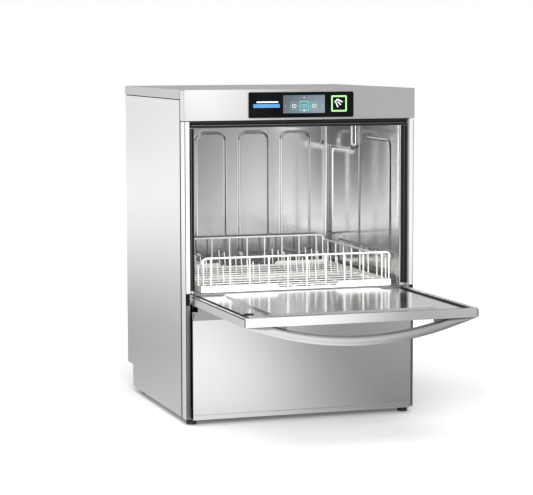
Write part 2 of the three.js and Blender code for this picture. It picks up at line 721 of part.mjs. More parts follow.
const washSystem = group([
  piece('tank_strainer', tankStrainer(), MATERIAL.satin()),
  piece('filter_basket', filterBasket(), MATERIAL.satin()),
  piece('lower_spindle', lowerSpindle(), MATERIAL.polished()),
  piece('lower_wash_arm', sprayArm(WASH_ARM, LEVEL.lowerWash, 6, true), MATERIAL.polished()),
  piece('lower_rinse_arm', sprayArm(RINSE_ARM, LEVEL.lowerRinse, 5, true), MATERIAL.polished()),
  piece('upper_spindle', upperSpindle(), MATERIAL.polished()),
  piece('upper_wash_arm', sprayArm(WASH_ARM, LEVEL.upperWash, 6, false), MATERIAL.polished()),
  piece('upper_rinse_arm', sprayArm(RINSE_ARM, LEVEL.upperRinse, 5, false), MATERIAL.polished()),
  piece('tank_heater', tankHeater(), MATERIAL.element()),
  piece('wash_pump_motor', pumpMotor(), MATERIAL.castMetal()),
  piece('wash_pump_casing', pumpCasing(), MATERIAL.greyPlastic()),
  piece('wash_pump_impeller', pumpImpeller(), MATERIAL.greyPlastic()),
  piece('drain_pump', drainPump(), MATERIAL.greyPlastic()),
  piece('boiler', boiler(), MATERIAL.satin()),
  piece('riser_duct', riserDuct(), MATERIAL.greyPlastic()),
  piece('power_box', powerBox(), MATERIAL.greyPlastic()),
]);

const connections = group([
  piece('water_inlet', threadedStub(CONNECTIONS.inlet, 6), MATERIAL.brass()),
  piece('drain_outlet', threadedStub(CONNECTIONS.drain, 20), MATERIAL.greyPlastic()),
  piece('cable_gland', threadedStub(CONNECTIONS.gland, 6), MATERIAL.blackPlastic()),
]);

const door = group([
  piece('door_outer_skin', doorOuterSkin(), MATERIAL.brushed()),
  piece('door_inner_panel', doorInnerPanel(), MATERIAL.polished()),
  piece('door_handle', doorHandle(), MATERIAL.satin()),
  pair('handle_end', handleEnd(), MATERIAL.satin),
  pair('hinge_arm', hingeArm(), MATERIAL.castMetal),
]);

const rack = group([
  piece('rack_base', rackBase(), MATERIAL.coatedWire()),
  piece('rack_front', rackEnd(RACK.front), MATERIAL.coatedWire()),
  piece('rack_back', rackEnd(RACK_BACK - WIRE), MATERIAL.coatedWire()),
  pair('rack_side', rackSide(), MATERIAL.coatedWire),
  piece('rack_pins', rackPins(), MATERIAL.coatedWire()),
]);

const dishwasher = group([cabinet, controls, chamber, washSystem, connections, door, rack]);
dishwasher.name = 'commercial_dishwasher';
dishwasher.position.y = (DOOR_REACH - DEPTH) / 2;

export default dishwasher;
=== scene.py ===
import json
import math

import bmesh
import bpy
from mathutils import Euler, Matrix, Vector

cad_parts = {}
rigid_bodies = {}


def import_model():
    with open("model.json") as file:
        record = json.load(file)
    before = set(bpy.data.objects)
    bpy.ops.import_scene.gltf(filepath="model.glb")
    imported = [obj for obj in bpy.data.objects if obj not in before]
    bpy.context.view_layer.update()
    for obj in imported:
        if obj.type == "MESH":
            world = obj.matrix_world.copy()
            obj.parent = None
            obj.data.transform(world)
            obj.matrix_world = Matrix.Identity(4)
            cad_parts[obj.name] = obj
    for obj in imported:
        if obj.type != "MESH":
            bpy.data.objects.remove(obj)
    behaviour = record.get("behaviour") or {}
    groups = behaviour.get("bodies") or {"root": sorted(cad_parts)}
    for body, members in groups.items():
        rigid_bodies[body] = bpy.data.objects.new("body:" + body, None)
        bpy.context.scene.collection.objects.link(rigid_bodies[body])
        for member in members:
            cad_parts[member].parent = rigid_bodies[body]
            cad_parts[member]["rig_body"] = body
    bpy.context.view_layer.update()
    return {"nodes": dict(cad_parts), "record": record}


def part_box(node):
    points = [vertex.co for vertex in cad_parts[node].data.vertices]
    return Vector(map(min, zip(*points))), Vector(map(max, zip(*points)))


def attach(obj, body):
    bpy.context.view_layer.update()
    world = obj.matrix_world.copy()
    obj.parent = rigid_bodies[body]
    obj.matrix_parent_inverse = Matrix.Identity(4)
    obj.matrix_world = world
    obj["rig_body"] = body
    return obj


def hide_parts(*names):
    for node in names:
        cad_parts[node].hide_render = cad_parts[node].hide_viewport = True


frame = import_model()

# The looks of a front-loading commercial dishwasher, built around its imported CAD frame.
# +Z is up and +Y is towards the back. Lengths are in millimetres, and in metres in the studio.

MM = 0.001
SHEET = 1.2  # thickness of the folded steel
WIRE = 2.1  # radius of the rack's upright wires
SIDES = ((-1, "left"), (1, "right"))
NODES = frame["nodes"]
BODY_OF = {name: obj["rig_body"] for name, obj in NODES.items()}
SLOT_OF = {part["node"]: part["material_slot"] for part in frame["record"]["subparts"]}


def span(node):
    """Lowest and highest corner of a CAD node, in millimetres."""
    low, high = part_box(node)
    return low / MM, high / MM


# ---------------- materials


class Nodes:
    """A material under construction: a Principled shader and the nodes that feed it."""

    def __init__(self, name):
        self.material = bpy.data.materials.new(name)
        self.material.use_nodes = True
        self.tree = self.material.node_tree
        self.shader = self.tree.nodes["Principled BSDF"]
        self.place = self.tree.nodes.new("ShaderNodeTexCoord").outputs["Object"]

    def add(self, kind, inputs, **settings):
        """A new node, its settings made and its inputs linked or set."""
        node = self.tree.nodes.new("ShaderNode" + kind)
        for key, value in settings.items():
            setattr(node, key, value)
        for key, value in inputs.items():
            self.feed(node.inputs[key], value)
        return node

    def feed(self, socket, value):
        """Links a socket to an output, or sets it to a plain value."""
        if isinstance(value, bpy.types.NodeSocket):
            self.tree.links.new(value, socket)
        else:
            socket.default_value = value

    def surface(self, **values):
        """Links or sets sockets of the shader; underscores stand for spaces."""
        for key, value in values.items():
            self.feed(self.shader.inputs[key.replace("_", " ")], value)

    def noise(self, scale, stretch=(1, 1, 1), detail=3.0, rough=0.5):
        """Noise over the object in metres, drawn out where stretch is small."""
        place = self.add("Mapping", {"Vector": self.place, "Scale": stretch}).outputs[0]
        inputs = {"Vector": place, "Scale": scale, "Detail": detail, "Roughness": rough}
        return self.add("TexNoise", inputs).outputs["Fac"]

    def blend(self, first, second, share):
        """first * (1 - share) + second * share"""
        inputs = {0: share, 2: first, 3: second}
        return self.add("Mix", inputs, data_type="FLOAT").outputs[0]

    def remap(self, value, low, high, start=0.3, stop=0.7):
        """low where the value is below start, high above stop, and a straight slope between."""
        inputs = {"Value": value, "From Min": start, "From Max": stop, "To Min": low, "To Max": high}
        return self.add("MapRange", inputs).outputs["Result"]

    def ramp(self, value, dark, light, start=0.3, stop=0.7):
        """A colour from dark at start to light at stop."""
        node = self.add("ValToRGB", {"Fac": value})
        for element, place, color in zip(node.color_ramp.elements, (start, stop), (dark, light)):
            element.position = place
            element.color = (*color, 1)
        return node.outputs["Color"]

    def product(self, first, *others):
        for other in others:
            inputs = {0: first, 1: other}
            first = self.add("Math", inputs, operation="MULTIPLY").outputs[0]
        return first

    def bump(self, height, distance, strength):
        """Relief of that distance in millimetres."""
        inputs = {"Height": height, "Distance": distance * MM, "Strength": strength}
        self.surface(Normal=self.add("Bump", inputs).outputs[0])


def scaled(color, factor):
    return tuple(channel * factor for channel in color)


def steel(name, tone, rough, grain, around="Z", spread=0.5, turn=0.25, tint=(1.0, 0.998, 0.994), metal=1.0):
    """Stainless steel. grain is how fast the brushing changes along x, y and z, and turn sets the
    direction that highlights are drawn out in, across the brushing."""
    n = Nodes(name)
    brushing = n.noise(1.0, grain, detail=4.5, rough=0.62)
    shade = n.blend(brushing, n.noise(2.2, detail=2.0), 0.3)
    wear = n.blend(brushing, n.noise(9.0), 0.35)
    color = scaled(tint, tone)
    shade = n.ramp(shade, scaled(color, 0.98), scaled(color, 1.02))
    n.surface(Base_Color=shade, Roughness=n.remap(wear, rough * 0.9, rough * 1.12))
    n.bump(brushing, 0.03, 0.12)
    tangent = n.add("Tangent", {}, direction_type="RADIAL", axis=around).outputs[0]
    n.surface(Metallic=metal, Anisotropic=spread, Anisotropic_Rotation=turn, Tangent=tangent)
    return n.material


def plain_metal(name, color, rough, grit=300.0, metallic=1.0):
    """Cast or shadowed metal with a fine, even grit."""
    n = Nodes(name)
    cloud, fine = n.noise(9.0), n.noise(grit, detail=4.0)
    shade = n.ramp(n.blend(cloud, fine, 0.4), scaled(color, 0.86), scaled(color, 1.1))
    wear = n.remap(n.blend(fine, cloud, 0.4), rough * 0.75, rough * 1.25)
    n.surface(Base_Color=shade, Roughness=wear, Metallic=metallic)
    n.bump(fine, 0.12, 0.4)
    return n.material


def moulded(name, color, rough, texture=0.08, grit=900.0, ior=1.48, shine=0.5):
    """Plastic, rubber or coating with a fine moulded grain and slight dusty variation."""
    n = Nodes(name)
    fine, cloud = n.noise(grit), n.noise(11.0, detail=4.0)
    shade = n.ramp(n.blend(fine, cloud, 0.6), scaled(color, 0.88), scaled(color, 1.1))
    wear = n.remap(n.blend(fine, cloud, 0.5), rough * 0.8, min(1.0, rough * 1.2))
    n.surface(Base_Color=shade, Roughness=wear, IOR=ior, Specular_IOR_Level=shine)
    n.bump(fine, texture, 0.5)
    return n.material


def glossy_glass(name):
    """Black glass with faint smears."""
    n = Nodes(name)
    smear = n.noise(9.0, (1, 1, 2.5), detail=4.0)
    shade = n.ramp(smear, (0.001, 0.0012, 0.0014), (0.004, 0.0045, 0.005))
    n.surface(Base_Color=shade, Roughness=n.remap(smear, 0.04, 0.14), IOR=1.5, Specular_IOR_Level=0.035)
    return n.material


def glowing(name, color, strength):
    """A backlit patch with the slight unevenness of a real backlight."""
    n = Nodes(name)
    light = n.ramp(n.noise(22.0, detail=2.0), scaled(color, 0.85), scaled(color, 1.12))
    n.surface(Emission_Color=light, Emission_Strength=strength)
    unlit = n.ramp(n.noise(30.0), scaled(color, 0.24), scaled(color, 0.3))
    n.surface(Base_Color=unlit, Roughness=n.remap(n.noise(40.0, detail=4.0), 0.12, 0.25))
    return n.material


def screen_glow(low, high):
    """The display's blue-grey backlight, lighter towards its lower right."""
    n = Nodes("display_backlight")
    dim, bright = (0.075, 0.094, 0.11), (0.19, 0.225, 0.265)
    split = n.add("SeparateXYZ", {"Vector": n.place}).outputs
    across = n.remap(split["X"], 0.0, 1.0, low.x * MM, high.x * MM)
    down = n.remap(split["Z"], 1.0, 0.0, low.z * MM, high.z * MM)
    mixed = n.blend(n.blend(across, down, 0.35), n.noise(16.0, detail=2.0), 0.2)
    n.surface(Emission_Color=n.ramp(mixed, dim, bright, 0.15, 0.85), Emission_Strength=0.85)
    unlit = n.ramp(mixed, scaled(dim, 0.3), scaled(bright, 0.3))
    n.surface(Base_Color=unlit, Roughness=n.remap(n.noise(60.0), 0.1, 0.2))
    return n.material


FINISH = {
    "brushed_front": steel("brushed_steel_front", 0.74, 0.33, (3, 3, 420), "Z", 0.8),
    # A darker copy of the front's steel: painted shade on the lower panel's top, under the door.
    "brushed_painted_shade": steel("brushed_steel_painted_shade", 0.42, 0.33, (3, 3, 420), "Z", 0.8),
    "brushed_flat": steel("brushed_steel_flat", 0.74, 0.33, (3, 420, 3), "Y", 0.7),
    "brushed_side": steel("brushed_steel_side", 0.76, 0.33, (3, 3, 380), "Z", 0.6),
    "brushed_top": steel("brushed_steel_top", 0.54, 0.33, (3, 420, 3), "Y"),
    "brushed_upright": steel("brushed_steel_upright", 0.76, 0.3, (420, 420, 3), turn=0.0, metal=0.62),
    "polished": steel("polished_steel", 0.8, 0.12, (25, 25, 260), "Z", 0.3),
    "polished_flat": steel("polished_steel_flat", 0.8, 0.15, (12, 240, 12), "Y", 0.2),
    "satin": steel("satin_metal", 0.57, 0.4, (6, 260, 260), "X", 0.3, tint=(0.99, 0.99, 1.0)),
    # A dark grey metal for the handle's ends: painted shade for their shaded sides.
    "satin_painted_shade": plain_metal("painted_shade_grey_metal", (0.2, 0.2, 0.2), 0.42),
    # Also used below the hinges on the posts' front strips, where its darker grey is painted shade.
    "mid_satin": plain_metal("mid_grey_metal", (0.27, 0.27, 0.265), 0.46),
    "black_glass": glossy_glass("black_glass"),
    "rubber": moulded("black_rubber", (0.012, 0.012, 0.013), 0.55, 0.1, 600.0, 1.3),
    "black_plastic": moulded("black_plastic", (0.022, 0.022, 0.024), 0.42),
    # Near-black with no gloss: painted shade, put in gaps where the cabinet's inside would be dark.
    "painted_shade_black": moulded("painted_gap_shade", (0.009, 0.009, 0.01), 0.8, shine=0.0),
    "grey_plastic": moulded("grey_plastic", (0.3, 0.32, 0.34), 0.48),
    "coated_wire": moulded("white_coated_wire", (0.86, 0.86, 0.84), 0.3, 0.03, 400.0, 1.5),
    "circuit_board": moulded("circuit_board_green", (0.02, 0.16, 0.06), 0.45, 0.15, 200.0, 1.55),
    "cast_metal": plain_metal("cast_metal", (0.28, 0.29, 0.3), 0.55, 420.0, 0.7),
    "heating_element": plain_metal("heating_element", (0.3, 0.28, 0.26), 0.42, 260.0),
    "brass": plain_metal("brass", (0.72, 0.52, 0.24), 0.28, 500.0),
    "green_frame": glowing("green_backlight", (0.42, 0.85, 0.32), 0.95),
    "white_icon": glowing("white_backlight", (0.82, 0.86, 0.84), 0.9),
    "teal_icon": glowing("teal_backlight", (0.12, 0.55, 0.55), 0.95),
    "blue_bar": glowing("blue_mark", (0.12, 0.4, 0.8), 0.4),
    "screen_glow": screen_glow(*span("display")),
}
# The finish of a slot whose own name is not a finish.
SLOT_FINISH = {"brushed_steel": "brushed_front", "polished_steel": "polished", "satin_metal": "satin"}


# ---------------- shapes


def circle(radius, sides):
    """Points round a circle about the origin."""
    angles = [2 * math.pi * i / sides for i in range(sides)]
    return [(radius * math.cos(a), radius * math.sin(a)) for a in angles]


class Shape:
    """Vertices and faces of one piece, in millimetres."""

    def __init__(self):
        self.verts = []
        self.faces = []

    def add(self, verts, faces):
        base = len(self.verts)
        self.verts.extend(Vector(v) for v in verts)
        self.faces.extend([base + i for i in face] for face in faces)
        return self

    def box(self, x0, x1, y0, y1, z0, z1):
        corners = [(x, y, z) for x in (x0, x1) for y in (y0, y1) for z in (z0, z1)]
        faces = [(0, 1, 3, 2), (4, 6, 7, 5), (0, 4, 5, 1), (2, 3, 7, 6), (0, 2, 6, 4), (1, 5, 7, 3)]
        return self.add(corners, faces)

    def both(self, x0, x1, y0, y1, z0, z1):
        """A box on the right of the machine and its mirror image on the left."""
        return self.box(-x1, -x0, y0, y1, z0, z1).box(x0, x1, y0, y1, z0, z1)

    def loft(self, rings, closed=False):
        """Skins a list of rings that have the same number of points, and caps the ends if it isn't closed."""
        count = len(rings[0])
        verts = [point for ring in rings for point in ring]
        faces = []
        for i in range(len(rings) if closed else len(rings) - 1):
            a, b = i * count, (i + 1) % len(rings) * count
            for j in range(count):
                k = (j + 1) % count
                faces.append((a + j, a + k, b + k, b + j))
        if not closed:
            faces.append(tuple(reversed(range(count))))
            faces.append(tuple(range((len(rings) - 1) * count, len(rings) * count)))
        return self.add(verts, faces)

    def tube(self, path, radius, sides=8):
        """A round wire along a path, with domed ends."""
        path = [Vector(p) for p in path]
        tangents = []
        for i in range(len(path)):
            before, after = path[max(i - 1, 0)], path[min(i + 1, len(path) - 1)]
            tangents.append((after - before).normalized())
        first, last = tangents[0], tangents[-1]
        lead = (path[0] - first * radius * 0.5, first, radius * 0.6)
        tail = (path[-1] + last * radius * 0.5, last, radius * 0.6)
        side = first.cross(Vector((0, 0, 1)) if abs(first.z) < 0.9 else Vector((1, 0, 0))).normalized()
        rings = []
        for point, tangent, r in [lead, *((p, t, radius) for p, t in zip(path, tangents)), tail]:
            side = (side - tangent * side.dot(tangent)).normalized()
            other = tangent.cross(side)
            rings.append([point + side * u + other * v for u, v in circle(r, sides)])
        return self.loft(rings)

    def lathe(self, profile, center, axis="Z", sides=28):
        """Turns (radius, height) points about a line through center, along Y or Z."""
        rings = []
        for radius, height in profile:
            points = circle(max(radius, 0.01), sides)
            ring = [(v, height, u) if axis == "Y" else (u, v, height) for u, v in points]
            rings.append([Vector(center) + Vector(point) for point in ring])
        return self.loft(rings)

    def prism(self, outline, axis, low, high):
        """An outline drawn out along an axis. X takes (y, z) points, Y takes (x, z), Z takes (x, y)."""
        def at(u, v, w):
            return {"X": (w, u, v), "Y": (u, w, v), "Z": (u, v, w)}[axis]
        return self.loft([[at(u, v, w) for u, v in outline] for w in (low, high)])

    def on_side(self, side):
        """The shape as drawn for the left side, or its mirror image for the right."""
        if side < 0:
            return self
        other = Shape()
        other.verts = [Vector((-v.x, v.y, v.z)) for v in self.verts]
        other.faces = [list(reversed(face)) for face in self.faces]
        return other

    def mesh(self, name):
        data = bpy.data.meshes.new(name)
        data.from_pydata([v * MM for v in self.verts], [], self.faces)
        work = bmesh.new()
        work.from_mesh(data)
        bmesh.ops.recalc_face_normals(work, faces=work.faces)
        return written(work, data)


def written(work, data):
    """Puts what bmesh worked on into a mesh."""
    work.to_mesh(data)
    work.free()
    return data


def spaced(low, high, count):
    return [low + (high - low) * i / (count - 1) for i in range(count)]


def rounded(points, radius, steps=4):
    """A path with its inner corners rounded."""
    points = [Vector(p) for p in points]
    path = [points[0]]
    for before, corner, after in zip(points, points[1:], points[2:]):
        a, b = (before - corner), (after - corner)
        reach = min(radius, a.length * 0.49, b.length * 0.49)
        p, q = corner + a.normalized() * reach, corner + b.normalized() * reach
        for t in spaced(0, 1, steps + 1):
            path.append(p * (1 - t) ** 2 + corner * 2 * t * (1 - t) + q * t * t)
    path.append(points[-1])
    return path


def round_rect(x0, x1, z0, z1, radius, steps=5):
    """Points round a rectangle with rounded corners."""
    left, right, bottom, top = x0 + radius, x1 - radius, z0 + radius, z1 - radius
    points = []
    for quarter, (cx, cz) in enumerate([(right, top), (left, top), (left, bottom), (right, bottom)]):
        for i in range(steps + 1):
            a = (quarter + i / steps) * math.pi / 2
            points.append((cx + radius * math.cos(a), cz + radius * math.sin(a)))
    return points


def placed(name, data):
    """A new object in the scene."""
    obj = bpy.data.objects.new(name, data)
    bpy.context.scene.collection.objects.link(obj)
    return obj


def modified(obj, kind, **settings):
    """Replaces the object's mesh by what a modifier makes of it."""
    modifier = obj.modifiers.new(kind, kind)
    for key, value in settings.items():
        setattr(modifier, key, value)
    graph = bpy.context.evaluated_depsgraph_get()
    shown = obj.evaluated_get(graph)
    mesh = bpy.data.meshes.new_from_object(shown, preserve_all_data_layers=True, depsgraph=graph)
    obj.modifiers.clear()
    obj.data = mesh


def piece(name, data, finish, slot, bevel=0.0, segments=2, crease=35, wide=50, body="cabinet", nodes=()):
    """Puts a shape or mesh in the scene: softened edges, smooth shading, its finish and its body.
    Edges sharper than crease stay sharp, and those over wide are bevelled. It replaces nodes."""
    obj = placed(name, data.mesh(name) if isinstance(data, Shape) else data)
    if bevel:
        settings = {"width": bevel * MM, "segments": segments, "use_clamp_overlap": True}
        modified(obj, "BEVEL", limit_method="ANGLE", angle_limit=math.radians(wide), **settings)
    obj.data.polygons.foreach_set("use_smooth", [True] * len(obj.data.polygons))
    obj.data.set_sharp_from_angle(angle=math.radians(crease))
    if bevel:
        modified(obj, "WEIGHTED_NORMAL", keep_sharp=True)
    obj.data.materials.clear()
    obj.data.materials.append(FINISH[finish])
    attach(obj, body)
    if nodes:
        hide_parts(*nodes)


def remade(node, data, finish, bevel=0.0, segments=2, crease=35, wide=50, suffix="_fine"):
    """A finer piece in place of a CAD node, on the node's body."""
    edges = (bevel, segments, crease, wide)
    piece(node + suffix, data, finish, SLOT_OF[node], *edges, body=BODY_OF[node], nodes=(node,))


def refined(node, finish=None, bevel=0.5, segments=2):
    """The CAD node's own shape: welded, the triangles of each flat face joined, the edges softened."""
    work = bmesh.new()
    work.from_mesh(NODES[node].data)
    bmesh.ops.remove_doubles(work, verts=work.verts, dist=0.01 * MM)
    bmesh.ops.dissolve_limit(work, angle_limit=math.radians(1), verts=work.verts, edges=work.edges)
    bmesh.ops.recalc_face_normals(work, faces=work.faces)
    slot = SLOT_OF[node]
    finish = finish or SLOT_FINISH.get(slot, slot)
    remade(node, written(work, bpy.data.meshes.new(node + "_fine")), finish, bevel, segments)


# ---------------- camera, light and floor


def camera():
    """A long lens from the front left, looking slightly down."""
    data = bpy.data.cameras.new("camera")
    data.sensor_width = 36
    data.lens = 133.666
    data.clip_end = 60
    obj = placed("camera", data)
    obj.location = (-1.592, -4.673, 0.923)
    obj.rotation_euler = Euler((math.radians(90 - 5.79), math.radians(0.14), math.radians(-18.09)))
    bpy.context.scene.camera = obj


def soft_light(name, size, place, aim, radiance):
    """A rectangular softbox of that radiance, facing aim. Gloss mirrors the cards instead of it."""
    data = bpy.data.lights.new(name, "AREA")
    data.shape = "RECTANGLE"
    data.size, data.size_y = size
    data.energy = radiance * math.pi * size[0] * size[1]
    obj = placed(name, data)
    obj.location = place
    obj.rotation_euler = (Vector(aim) - Vector(place)).to_track_quat("-Z", "Z").to_euler()
    obj.visible_camera = obj.visible_glossy = False


def reflector(name, path, x0, x1, tone, turned=False):
    """A card of graded brightness, seen only in reflections. path is its section as (y, z) points,
    drawn out from x0 to x1, or with x and y changed over when turned."""
    data = bpy.data.meshes.new(name)
    verts = [(y, x, z) if turned else (x, y, z) for y, z in path for x in (x0, x1)]
    faces = [(2 * i, 2 * i + 1, 2 * i + 3, 2 * i + 2) for i in range(len(path) - 1)]
    data.from_pydata(verts, [], faces)
    obj = placed(name, data)
    n = Nodes(name)
    split = n.add("SeparateXYZ", {"Vector": n.place}).outputs
    light = n.add("Emission", {"Strength": tone(n, split["X"], split["Y"], split["Z"])})
    n.tree.links.new(light.outputs[0], n.tree.nodes["Material Output"].inputs["Surface"])
    n.material.cycles.emission_sampling = "NONE"
    data.materials.append(n.material)
    obj.visible_camera = obj.visible_diffuse = obj.visible_shadow = obj.visible_transmission = False


def front_tone(n, x, y, z):
    """White to the left and grey to the right, with a darker window level with the chamber's opening."""
    bright = n.remap(z, 1.62, 1.88, 0.0, 0.8)
    dark = n.remap(z, 0.37, 0.6, 0.0, 0.8)
    plain = n.blend(bright, dark, n.remap(x, 0.0, 1.0, -0.05, 0.27))
    at_door = n.blend(plain, 0.8, n.remap(x, 0.0, 1.0, 0.12, 0.32))
    door_height = n.product(n.remap(z, 0.0, 1.0, 0.19, 0.23), n.remap(z, 1.0, 0.0, 0.4, 0.5))
    plain = n.blend(plain, at_door, door_height)
    beside = n.blend(n.remap(z, 0.5, 0.16, 0.36, 0.6), 0.84, n.remap(x, 0.0, 1.0, -0.17, -0.05))
    window = n.blend(beside, n.remap(x, 0.34, 0.68, 0.24, 0.48), n.remap(x, 0.0, 1.0, 0.1, 0.22))
    window = n.product(window, n.remap(z, 1.45, 0.74, 0.36, 0.66))
    window = n.blend(window, 2.8, n.remap(x, 1.0, 0.0, -0.52, -0.45))
    left_top, right_top = n.remap(z, 1.0, 0.0, 0.78, 0.84), n.remap(z, 1.0, 0.0, 0.66, 0.71)
    top = n.blend(left_top, right_top, n.remap(x, 0.0, 1.0, -0.15, -0.08))
    over_door = n.product(n.remap(z, 0.0, 1.0, 0.32, 0.38), top)
    under_door = n.product(n.remap(z, 0.95, 0.7, 0.03, 0.14), n.remap(z, 1.0, 1.43, 0.19, 0.24))
    under_door = n.product(under_door, n.remap(y, 1.0, 0.55, -0.5, -0.2))
    far_left = n.remap(x, 0.45, 1.0, -0.8, -0.65)
    return n.product(n.blend(plain, window, over_door), under_door, far_left)


def side_tone(n, x, y, z):
    """Light above and grey below the middle of the side panel."""
    near = n.remap(y, 0.62, 0.47, 0.3, 1.0)
    rising = n.blend(near, 1.18, n.remap(z, 0.0, 1.0, 0.04, 0.36))
    plain = n.blend(rising, 0.92, n.remap(z, 0.0, 1.0, 0.46, 0.62))
    on_floor = n.remap(z, 1.0, 0.0, 0.01, 0.02)
    far_floor = n.product(n.remap(y, 1.0, 0.84, 1.0, 1.6), n.remap(x, 2.5, 1.0, -1.1, -0.94))
    beside_door = n.blend(n.remap(x, 1.5, 1.0, -1.3, -1.02), far_floor, on_floor)
    return n.product(plain, beside_door)


def rear_tone(n, x, y, z):
    """Grey near the floor, lighter above, with a soft fall-off from left to right."""
    rise = n.remap(z, 0.4, 0.95, 0.0, 0.9)
    across = n.remap(n.blend(x, y, 0.5), 1.0, 0.72, -1.0, 1.6)
    return n.product(rise, across)


def surroundings():
    """A world that is white to the camera and dimmer as a light."""
    world = bpy.data.worlds.new("studio")
    world.use_nodes = True
    tree = world.node_tree
    shown, lit = tree.nodes["Background"], tree.nodes.new("ShaderNodeBackground")
    for node, strength in ((shown, 1.0), (lit, 0.55)):
        node.inputs["Color"].default_value = (1, 1, 1, 1)
        node.inputs["Strength"].default_value = strength
    mix = tree.nodes.new("ShaderNodeMixShader")
    rays = tree.nodes.new("ShaderNodeLightPath")
    for socket, output in zip(mix.inputs, (rays.outputs["Is Camera Ray"], lit.outputs[0], shown.outputs[0])):
        tree.links.new(output, socket)
    tree.links.new(mix.outputs[0], tree.nodes["World Output"].inputs["Surface"])
    bpy.context.scene.world = world
    bpy.context.scene.view_settings.view_transform = "Standard"


def studio():
    surroundings()
    soft_light("overhead", (3.4, 3.4), (-0.3, -0.4, 3.0), (0, 0, 0), 2.2)
    soft_light("front_fill", (1.8, 1.4), (-0.9, -3.0, 1.5), (0, 0.1, 0.45), 17.0)
    soft_light("back_left", (2.2, 1.6), (-2.2, 3.2, 1.9), (-0.3, 0.2, 0.6), 1.2)
    front = [(-0.11, 0.002), (-0.66, 0.002), (-0.76, 0.1), (-0.78, 1.8)]
    reflector("front_card", front, -2.4, 2.6, front_tone)
    reflector("side_card", [(1.9, 0.002), (1.9, 1.8)], -2.6, -0.1, side_tone)
    rear = [(0.54, 0.002), (2.6, 0.002), (2.8, 0.2), (2.8, 2.2)]
    reflector("rear_card", rear, -0.3, 3.0, rear_tone)
    right = [(0.33, 0.001), (2.4, 0.001), (2.6, 0.2), (2.6, 2.2)]
    reflector("right_card", right, -2.6, 0.53, rear_tone, True)
    reflector("side_floor_card", [(-0.1, 0.002), (1.9, 0.002)], -2.6, -0.302, side_tone)


def floor():
    """A pale floor that brightens to white away from the machine."""
    data = bpy.data.meshes.new("floor")
    half = 30
    corners = [(-half, -half, 0), (half, -half, 0), (half, half, 0), (-half, half, 0)]
    data.from_pydata(corners, [], [(0, 1, 2, 3)])
    n = Nodes("pale_floor")
    mottle = n.noise(2.0)
    shade = n.ramp(mottle, (0.74, 0.74, 0.74), (0.76, 0.76, 0.76))
    n.surface(Base_Color=shade, Roughness=n.remap(mottle, 0.85, 0.95), Specular_IOR_Level=0.0)
    distance = n.add("VectorMath", {0: n.place}, operation="LENGTH").outputs["Value"]
    n.surface(Emission_Color=(1, 1, 1, 1), Emission_Strength=n.remap(distance, 0.08, 0.7, 0.6, 2.6))
    n.material.cycles.emission_sampling = "NONE"
    data.materials.append(n.material)
    placed("floor", data)


# ---------------- cabinet


def cabinet():
    side_panels()
    refined("lid", "brushed_top", 0.5, 3)
    lower_panel()
    refined("rear_panel", "brushed_side")
    refined("base_tray", "brushed_top", 0.4)
    fascia()
    door_posts()
    for node in ("foot_front_left", "foot_front_right", "foot_rear_left", "foot_rear_right"):
        foot(node)
    rear_fixings()


def side_panels():
    """Folded sheets that stop short of the lid's skirt, so that a dark joint shows under it."""
    post_gap, skirt_joint, lip = 3.6, 1.8, 12
    recess_depth, recess_top = 58, 74
    for side, name in SIDES:
        node = "side_panel_" + name
        low, high = span(node)
        outer = -max(abs(low.x), abs(high.x))
        front, step_y, back = low.y + post_gap, high.y - recess_depth, high.y
        foot_z, top = low.z, high.z - skirt_joint
        skin = [
            (front, foot_z), (step_y, foot_z), (step_y, recess_top),
            (back, recess_top), (back, top), (front, top),
        ]
        shape = Shape().prism(skin, "X", outer, outer + SHEET)
        for edge in (
            (front, front + SHEET, foot_z, top), (back - SHEET, back, recess_top, top),
            (front + SHEET, step_y, foot_z, foot_z + 0.3),
        ):
            shape.box(outer + SHEET, outer + lip, *edge)
        remade(node, shape.on_side(side), "brushed_side", 0.5, 3)


def lower_panel():
    """A front sheet with a crease above its turned-back hem and a top that leans away from the door.
    Its top is a darker copy of the front's steel: painted shade under the door.
    """
    low, high = span("lower_front_panel")
    sheet = 1.4
    front, inside = low.y, low.y + sheet
    crease, shoulder, lean = low.z + 12, high.z - 31, 9
    hem_back, hem_top = high.y - 2, low.z + 2.2
    face = [
        (front, low.z + 0.8), (front, crease - 1.2), (front + 1.5, crease), (front, crease + 1.2),
        (front, shoulder), (inside, shoulder), (inside, hem_top), (hem_back, hem_top),
        (hem_back, low.z), (front + 0.8, low.z),
    ]
    remade("lower_front_panel", Shape().prism(face, "X", low.x, high.x), "brushed_front", 0.4, 3)
    arm_gap = high.z - 11
    inner = span("chamber_wall_right")[0].x
    top = Shape()
    for z0, z1, half in ((shoulder + 0.3, arm_gap, high.x), (arm_gap, high.z, inner)):
        y0, y1 = (front + lean * (z - shoulder) / (high.z - shoulder) for z in (z0, z1))
        top.prism([(y0, z0), (y1, z1), (y1 + sheet, z1), (y0 + sheet, z0)], "X", -half, half)
    top.box(-inner, inner, inside + lean, hem_back, high.z - SHEET, high.z)
    # The top's darker steel is painted shade, where the open door shades the panel.
    piece("lower_front_panel_top", top, "brushed_painted_shade", "brushed_steel", 0.3)
    # Near-black sheets behind the panel's side edges: painted shade in the gap beside the panel.
    channel = Shape().both(high.x - 3.4, high.x - 2.2, inside, high.y, hem_top, high.z - 14)
    piece("lower_front_panel_channel", channel, "painted_shade_black", "black_plastic", 0.3)


